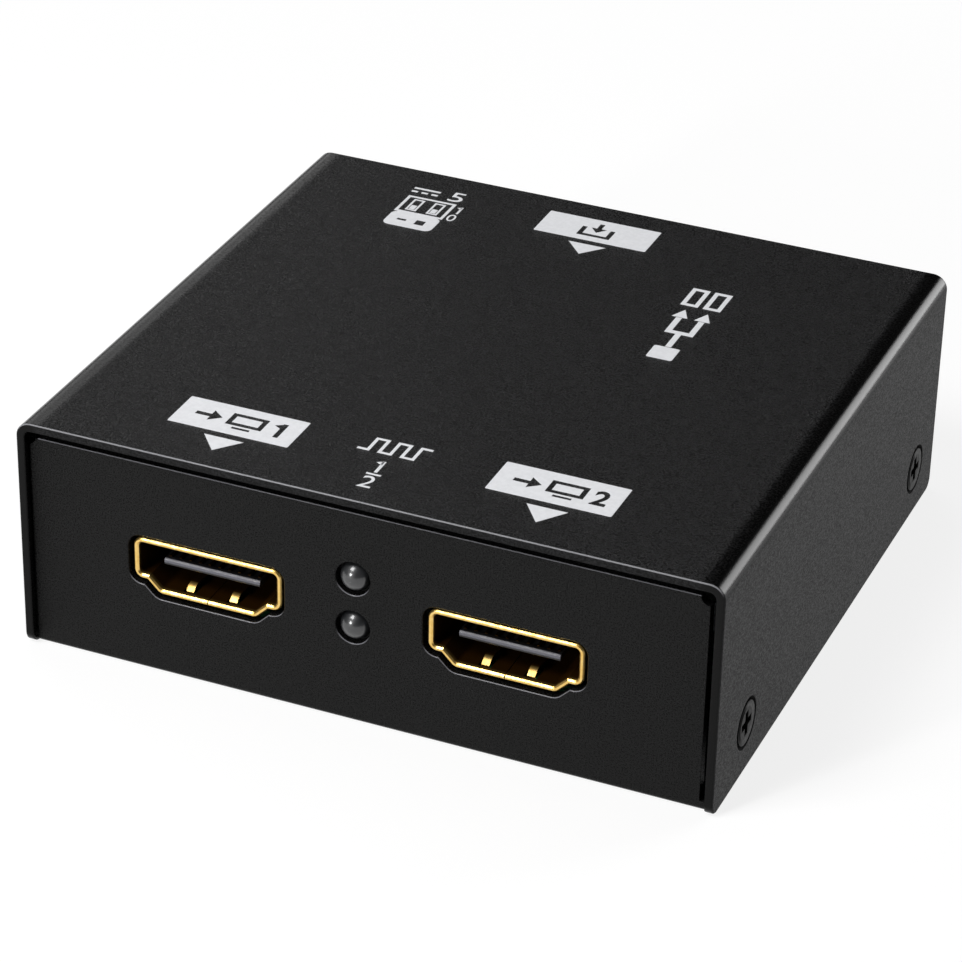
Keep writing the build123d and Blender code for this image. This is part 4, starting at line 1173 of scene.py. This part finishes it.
@dataclass
class CircuitBoard:
    """The board with all that stands on it and the hardware under it."""

    finishes: dict[str, Finish] = field(default_factory=lambda: {
        "main_board": LAMINATE,
        "standoffs": ZINC_PLATE,
        "board_screws": ZINC_PLATE,
        "splitter_chip": CHIP_EPOXY,
        "memory_chip": CHIP_EPOXY,
        "voltage_regulator": CHIP_EPOXY,
        "crystal_can": DRAWN_CAN,
        "supply_capacitor": DRAWN_CAN,
        "power_inductor": FERRITE,
        "chip_capacitors": CERAMIC,
    })

    def dress(self) -> None:
        """Puts each piece's finish on."""
        for node, finish in self.finishes.items():
            put_on(node, finish)


# Marks printed on the lid

@dataclass(frozen=True)
class Mark:
    """One white mark on the lid.

    Attributes:
        name: Name of the finished piece.
        bold: Line width of the symbols cut out of the bars.
        thin: Line width of the fine symbols.
        bar_round: Radius of the bars' corners.
    """

    name: str
    bold: float = 0.5
    thin: float = 0.32
    bar_round: float = 0.12

    def shapes(self, ink: Stencil, cutter: Stencil) -> list[bpy.types.Object]:
        """Models the mark.

        Args:
            ink: Models what is printed.
            cutter: Models what is cut out of it.

        Returns:
            Its shapes, in millimetres.
        """
        raise NotImplementedError


@dataclass(frozen=True)
class OutputMark(Mark):
    """An output's bar with an arrow, a screen and its number cut out, and the wedge under it.

    The arrow, the screen and the digit are placed from the bar's left end and its middle line.

    Attributes:
        number: The output's number.
        bar: The bar.
        wedge: The wedge that points at the port.
        shaft: The arrow's shaft.
        head: The arrow's head.
        screen: The screen.
        foot: The screen's foot.
        digit: The digit.
        digit_weight: How far the strokes of a curved digit are thickened.
    """

    number: str = "1"
    bar: Box = Box((-21.9, -9.8), (-26.3, -21.3))
    wedge: Box = Box((-17.71, -13.74), (-29.55, -27.13))
    shaft: Box = Box((1.7, 3.3), (-0.28, 0.28))
    head: Box = Box((3.2, 4.4), (-0.95, 0.95))
    screen: Box = Box((5.0, 8.6), (-0.85, 1.3))
    foot: Box = Box((5.9, 7.7), (-1.45, -1.1))
    digit: Box = Box((9.3, 10.5), (-1.3, 1.3))
    digit_weight: float = 0.03

    def shapes(self, ink: Stencil, cutter: Stencil) -> list[bpy.types.Object]:
        """Models the bar with its symbols cut out, and the wedge.

        Args:
            ink: Models what is printed.
            cutter: Models what is cut out of it.

        Returns:
            Its shapes, in millimetres.
        """
        start = (self.bar.x[0], sum(self.bar.y) / 2)
        plate = ink.plate(self.bar, self.bar_round)
        cutters = [
            cutter.plate(self.shaft.moved(*start)),
            cutter.wedge(self.head.moved(*start), Side.RIGHT),
            cutter.border(self.screen.moved(*start), self.bold),
            cutter.plate(self.foot.moved(*start)),
        ]
        if self.number == "1":
            cutters += cutter.digit_one(self.digit.moved(*start), self.bold)
        else:
            cutters.append(cutter.number(self.number, self.digit.moved(*start), self.digit_weight))
        return [cut_out(plate, cutters), ink.wedge(self.wedge, Side.FRONT)]


@dataclass(frozen=True)
class InputMark(Mark):
    """The input's bar with an arrow into a tray cut out, and the wedge under it.

    Attributes:
        bar: The bar.
        wedge: The wedge that points into the case.
        tray: The tray, along the middle of its line.
        shaft: The arrow's shaft.
        head: The arrow's head.
    """

    bar: Box = Box((-6.8, 5.2), (24.4, 29.2))
    wedge: Box = Box((-2.61, 1.35), (21.25, 23.55))
    tray: Box = Box((-2.3, 0.7), (25.6, 27.1))
    shaft: Box = Box((-1.05, -0.55), (27.3, 28.4))
    head: Box = Box((-1.65, 0.05), (26.35, 27.35))

    def shapes(self, ink: Stencil, cutter: Stencil) -> list[bpy.types.Object]:
        """Models the bar with its symbol cut out, and the wedge.

        Args:
            ink: Models what is printed.
            cutter: Models what is cut out of it.

        Returns:
            Its shapes, in millimetres.
        """
        (left, right), (low, high) = self.tray.x, self.tray.y
        plate = ink.plate(self.bar, self.bar_round)
        cutters = [
            cutter.run([(left, high), (left, low), (right, low), (right, high)], self.bold),
            cutter.plate(self.shaft),
            cutter.wedge(self.head, Side.FRONT),
        ]
        return [cut_out(plate, cutters), ink.wedge(self.wedge, Side.FRONT)]


@dataclass(frozen=True)
class LampMark(Mark):
    """A square signal wave with the lamps' numbers under it.

    Attributes:
        wave: The wave, along the middle of its line.
        first_step: Where the wave first changes its level.
        step_pitch: Distance from one change to the next.
        step_count: Number of changes.
        one: The digit 1.
        dash: The line between the digits.
        two: The digit 2.
    """

    wave: Box = Box((-4.0, 2.2), (-23.5, -21.3))
    first_step: float = -3.1
    step_pitch: float = 1.1
    step_count: int = 5
    one: Box = Box((-1.45, -0.62), (-27.0, -24.9))
    dash: Box = Box((-1.5, -0.05), (-27.5, -27.25))
    two: Box = Box((-1.4, -0.1), (-29.8, -27.75))

    def shapes(self, ink: Stencil, cutter: Stencil) -> list[bpy.types.Object]:
        """Models the wave and the digits.

        Args:
            ink: Models what is printed.
            cutter: Not used, as nothing is cut out of this mark.

        Returns:
            Its shapes, in millimetres.
        """
        low, high = self.wave.y
        level, other = low, high
        corners = [(self.wave.x[0], level)]
        for step in range(self.step_count):
            x = self.first_step + step * self.step_pitch
            corners += [(x, level), (x, other)]
            level, other = other, level
        corners.append((self.wave.x[1], level))
        return [
            ink.run(corners, self.thin),
            *ink.digit_one(self.one, self.thin),
            ink.plate(self.dash),
            ink.number("2", self.two),
        ]


@dataclass(frozen=True)
class SupplyMark(Mark):
    """The symbol of a direct-current supply and its voltage's number.

    Attributes:
        long_dash: The upper line.
        short_dash: The first of the lower dashes.
        dash_pitch: Distance from one lower dash to the next.
        dash_count: Number of lower dashes.
        volts: The number.
    """

    long_dash: Box = Box((-21.5, -18.6), (28.0, 28.32))
    short_dash: Box = Box((-21.5, -20.8), (27.2, 27.52))
    dash_pitch: float = 1.1
    dash_count: int = 3
    volts: Box = Box((-17.4, -15.9), (26.8, 28.9))

    def shapes(self, ink: Stencil, cutter: Stencil) -> list[bpy.types.Object]:
        """Models the dashes and the number.

        Args:
            ink: Models what is printed.
            cutter: Not used, as nothing is cut out of this mark.

        Returns:
            Its shapes, in millimetres.
        """
        dashes = [ink.plate(self.short_dash.moved(i * self.dash_pitch, 0)) for i in range(self.dash_count)]
        return [ink.plate(self.long_dash), *dashes, ink.number("5", self.volts)]


@dataclass(frozen=True)
class SwitchMark(Mark):
    """The switch's picture with its two sliders down, and the positions' numbers.

    Attributes:
        window: The part that shows the sliders' slots.
        base: The filled part under it.
        base_round: Radius of its corners.
        signs: The two signs cut out of it.
        slots: The sliders' slots.
        slot_line: Width of their outlines.
        slider_gap: How far a slider stays inside its slot's outer limits.
        slider_height: Height of a slider.
        one: The digit 1.
        one_line: Width of its stem.
        zero: The digit 0.
    """

    window: Box = Box((-21.3, -16.0), (22.45, 26.3))
    base: Box = Box((-21.3, -16.0), (19.3, 22.45))
    base_round: float = 0.7
    signs: tuple[Box, ...] = (Box((-20.2, -19.2), (20.6, 21.0)), Box((-18.2, -17.2), (20.3, 21.3)))
    slots: tuple[Box, ...] = (Box((-20.4, -19.2), (23.1, 25.7)), Box((-18.1, -16.9), (23.1, 25.7)))
    slot_line: float = 0.22
    slider_gap: float = 0.3
    slider_height: float = 0.9
    one: Box = Box((-15.65, -15.05), (24.3, 25.9))
    one_line: float = 0.24
    zero: Box = Box((-15.75, -14.85), (22.5, 24.0))

    def shapes(self, ink: Stencil, cutter: Stencil) -> list[bpy.types.Object]:
        """Models the picture and the digits.

        Args:
            ink: Models what is printed.
            cutter: Models what is cut out of it.

        Returns:
            Its shapes, in millimetres.
        """
        window = ink.border(self.window, self.thin)
        base = ink.plate(self.base, self.base_round)
        shapes = [window, cut_out(base, [cutter.plate(sign) for sign in self.signs])]
        for slot in self.slots:
            bottom = slot.y[0] + self.slider_gap
            slider_x = (slot.x[0] + self.slider_gap, slot.x[1] - self.slider_gap)
            shapes.append(ink.border(slot, self.slot_line))
            shapes.append(ink.plate(Box(slider_x, (bottom, bottom + self.slider_height))))
        return [*shapes, *ink.digit_one(self.one, self.one_line), ink.number("0", self.zero)]


@dataclass(frozen=True)
class DiagramMark(Mark):
    """The diagram of one source that feeds two screens.

    Attributes:
        source: The source.
        source_round: Radius of its corners.
        line: Width of the lines between source and screens.
        stem_y: Ends of the single line.
        fork: The two lines that it parts into, along their middles.
        arrow: An arrow's head, from a line's middle.
        screen: A screen, from a line's middle.
        screen_line: Width of its outline.
    """

    source: Box = Box((13.1, 15.7), (3.9, 6.4))
    source_round: float = 0.2
    line: float = 0.6
    stem_y: Span = (6.8, 9.0)
    fork: Box = Box((13.25, 15.55), (9.6, 12.3))
    arrow: Box = Box((-0.8, 0.8), (12.7, 14.4))
    screen: Box = Box((-0.9, 0.9), (15.3, 19.1))
    screen_line: float = 0.45

    def shapes(self, ink: Stencil, cutter: Stencil) -> list[bpy.types.Object]:
        """Models the source, the lines, the arrows and the screens.

        Args:
            ink: Models what is printed.
            cutter: Not used, as nothing is cut out of this mark.

        Returns:
            Its shapes, in millimetres.
        """
        middle = sum(self.source.x) / 2
        (left, right), (low, high) = self.fork.x, self.fork.y
        shapes = [
            ink.plate(self.source, self.source_round),
            ink.run([(middle, self.stem_y[0]), (middle, self.stem_y[1])], self.line),
            ink.run([(left, high), (left, low), (right, low), (right, high)], self.line),
        ]
        for x in self.fork.x:
            shapes.append(ink.wedge(self.arrow.moved(x, 0), Side.REAR))
            shapes.append(ink.border(self.screen.moved(x, 0), self.screen_line))
        return shapes


@dataclass
class LidMarks:
    """The white marks printed on the lid.

    Attributes:
        sunk: How far the ink reaches into the coat.
        proud: How far it stands over the coat.
        reach: How far a cutter passes the ink on each side.
        body: The body that the marks ride on.
        marks: The marks, in printing order.
    """

    sunk: float = 0.01
    proud: float = 0.02
    reach: float = 0.1
    body: str = "case"
    marks: tuple[Mark, ...] = (
        OutputMark("lid_mark_output_1"),
        OutputMark(
            "lid_mark_output_2", number="2", bar=Box((9.1, 21.1), (-25.4, -20.2)),
            wedge=Box((13.48, 17.44), (-29.0, -26.3)), digit=Box((9.3, 10.8), (-1.3, 1.3))),
        InputMark("lid_mark_input"),
        LampMark("lid_mark_lamps"),
        SupplyMark("lid_mark_supply"),
        SwitchMark("lid_mark_switch"),
        DiagramMark("lid_mark_diagram"),
    )

    def place(self, name: str, shapes: list[bpy.types.Object]) -> bpy.types.Object:
        """Joins shapes to one piece, brings it to the frame's scale and lets it ride on the case.

        Args:
            name: The piece's name.
            shapes: Its shapes, in millimetres.

        Returns:
            The finished piece.
        """
        select_only(shapes[0])
        for shape in shapes:
            shape.select_set(True)
        bpy.ops.object.join()
        piece = bpy.context.object
        piece.scale = (MM, MM, MM)
        bpy.ops.object.transform_apply(location=True, rotation=True, scale=True)
        piece.name = name
        piece.data.name = name
        piece.data.materials.clear()
        piece.data.materials.append(material_of(SCREEN_INK))
        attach(piece, self.body)
        LOG.info("%s printed with %d faces", name, len(piece.data.polygons))
        return piece

    def build(self) -> None:
        """Prints all the marks."""
        low = LID_TOP - self.sunk
        high = LID_TOP + self.proud
        ink = Stencil(low, high)
        cutter = Stencil(low - self.reach, high + self.reach)
        for mark in self.marks:
            self.place(mark.name, mark.shapes(ink, cutter))


# Studio

@dataclass(frozen=True)
class Softbox:
    """One soft lamp of the studio.

    Attributes:
        name: The lamp's name.
        towards: Direction from the case to the lamp.
        distance: Distance in metres.
        width: Width in metres.
        height: Height in metres.
        brightness: Radiance of its face, where 1 is white.
    """

    name: str
    towards: tuple[float, float, float]
    distance: float
    width: float
    height: float
    brightness: float

    def build(self) -> bpy.types.Object:
        """Hangs the lamp so that it faces the case.

        Returns:
            The lamp.
        """
        clear_selection()
        direction = Vector(self.towards).normalized()
        bpy.ops.object.light_add(type="AREA", location=direction * self.distance)
        lamp = bpy.context.object
        lamp.name = self.name
        lamp.rotation_euler = (-direction).to_track_quat("-Z", "Y").to_euler()
        lamp.data.shape = "RECTANGLE"
        lamp.data.size = self.width
        lamp.data.size_y = self.height
        lamp.data.energy = self.brightness * math.pi * self.width * self.height
        LOG.info("%s hung", self.name)
        return lamp


@dataclass
class Studio:
    """Floor, light and camera.

    Attributes:
        azimuth: Where the camera stands round the case, in degrees from its front.
        elevation: How far it looks down, in degrees.
        roll: How far it is turned about its own axis, in degrees.
        stand: Its place in metres.
        focal_pixels: Its focal length in pixels.
        frame_pixels: Width of its picture in pixels.
        sensor: Width of its sensor in millimetres.
        clip: Nearest and farthest distance that it shows, in metres.
        floor_size: Size of the floor in metres.
        floor_drop: How far the floor lies under the case, in metres.
        paper: Brightness of the floor as the case sees it.
        shade: Brightness of the floor that shadows take away in the picture.
        glow: Brightness that they leave.
        sky: Brightness of the surroundings.
        lamps: The soft lamps.
    """

    azimuth: float = 22.47
    elevation: float = 29.98
    roll: float = 1.31
    stand: tuple[float, float, float] = (0.11608, -0.28494, 0.18645)
    focal_pixels: float = 3674.12
    frame_pixels: float = 962.0
    sensor: float = 36.0
    clip: Span = (0.01, 100.0)
    floor_size: float = 30.0
    floor_drop: float = 0.00002
    paper: float = 0.8
    shade: float = 0.2
    glow: float = 0.81
    sky: float = 0.03
    lamps: tuple[Softbox, ...] = (
        Softbox("key_softbox", (-0.33, -0.5, 0.8), 0.7, 0.26, 0.26, 16.2),
        Softbox("front_softbox", (-0.352, -0.88, 0.317), 0.284, 0.03, 0.05, 84.0),
        Softbox("bend_softbox", (0.56, 0.8, 0.24), 0.7, 0.3, 0.34, 8.6),
        Softbox("sheen_softbox", (-0.66, 0.62, 0.45), 0.7, 0.5, 0.36, 1.5),
        Softbox("roof_softbox", (0.0, 0.35, 0.94), 0.7, 0.5, 0.5, 0.9),
    )

    def floor(self) -> None:
        """Lays the pale floor, which shows white and keeps the case's shadow."""
        clear_selection()
        bpy.ops.mesh.primitive_plane_add(size=self.floor_size, location=(0, 0, -self.floor_drop))
        floor = bpy.context.object
        floor.name = "studio_floor"
        bpy.ops.object.transform_apply(location=True, rotation=True, scale=True)
        material = bpy.data.materials.new("white_paper_sweep")
        material.use_nodes = True
        tree = material.node_tree
        tree.nodes.clear()
        path = add_node(tree, "LightPath").outputs
        rays = {0: path["Is Camera Ray"], 1: path["Is Glossy Ray"]}
        direct = add_node(tree, "Math", rays, operation="MAXIMUM").outputs["Value"]
        rays = {0: direct, 1: path["Is Transmission Ray"]}
        seen = add_node(tree, "Math", rays, operation="MAXIMUM").outputs["Value"]
        paper = add_node(tree, "BsdfDiffuse", {"Color": (self.paper, self.paper, self.paper, 1)})
        shade = add_node(tree, "BsdfDiffuse", {"Color": (self.shade, self.shade, self.shade, 1)})
        glow = add_node(tree, "Emission", {"Color": (1, 1, 1, 1), "Strength": self.glow})
        lit = add_node(tree, "AddShader", {0: shade.outputs[0], 1: glow.outputs[0]})
        mixed = add_node(tree, "MixShader", {0: seen, 1: paper.outputs[0], 2: lit.outputs[0]})
        add_node(tree, "OutputMaterial", {"Surface": mixed.outputs[0]})
        floor.data.materials.append(material)

    def light(self) -> None:
        """Sets the grey surroundings and hangs the softboxes."""
        world = bpy.data.worlds.new("studio_room")
        world.use_nodes = True
        tree = world.node_tree
        tree.nodes.clear()
        grey = add_node(tree, "Background", {"Color": (self.sky, self.sky, self.sky, 1), "Strength": 1.0})
        add_node(tree, "OutputWorld", {"Surface": grey.outputs[0]})
        bpy.context.scene.world = world
        for lamp in self.lamps:
            lamp.build()
        bpy.context.scene.view_settings.view_transform = "Standard"

    def camera(self) -> None:
        """Stands the camera where the photograph was taken from."""
        azimuth = math.radians(self.azimuth)
        elevation = math.radians(self.elevation)
        roll = math.radians(self.roll)
        look = Vector((
            -math.sin(azimuth) * math.cos(elevation),
            math.cos(azimuth) * math.cos(elevation),
            -math.sin(elevation),
        ))
        right = Vector((math.cos(azimuth), math.sin(azimuth), 0.0))
        up = right.cross(look)
        turned_right = math.cos(roll) * right + math.sin(roll) * up
        turned_up = math.cos(roll) * up - math.sin(roll) * right
        clear_selection()
        bpy.ops.object.camera_add(location=self.stand)
        camera = bpy.context.object
        camera.name = "photo_camera"
        camera.rotation_euler = Matrix((turned_right, turned_up, -look)).transposed().to_euler()
        camera.data.sensor_width = self.sensor
        camera.data.lens = self.focal_pixels / self.frame_pixels * self.sensor
        camera.data.clip_start, camera.data.clip_end = self.clip
        bpy.context.scene.camera = camera

    def build(self) -> None:
        """Builds the floor, the light and the camera."""
        self.floor()
        self.light()
        self.camera()


def main() -> None:
    """Builds the object's sub-assemblies and the studio."""
    logging.basicConfig(level=logging.INFO, format="%(name)s: %(message)s")
    CaseShell().dress()
    for name in ("video_out_1", "video_out_2", "video_in"):
        VideoPort(name).dress()
    LinkLamps().dress()
    PowerInlet().dress()
    SettingSwitch().dress()
    CircuitBoard().dress()
    LidMarks().build()
    Studio().build()
    clear_selection()


if __name__ == "__main__":
    main()
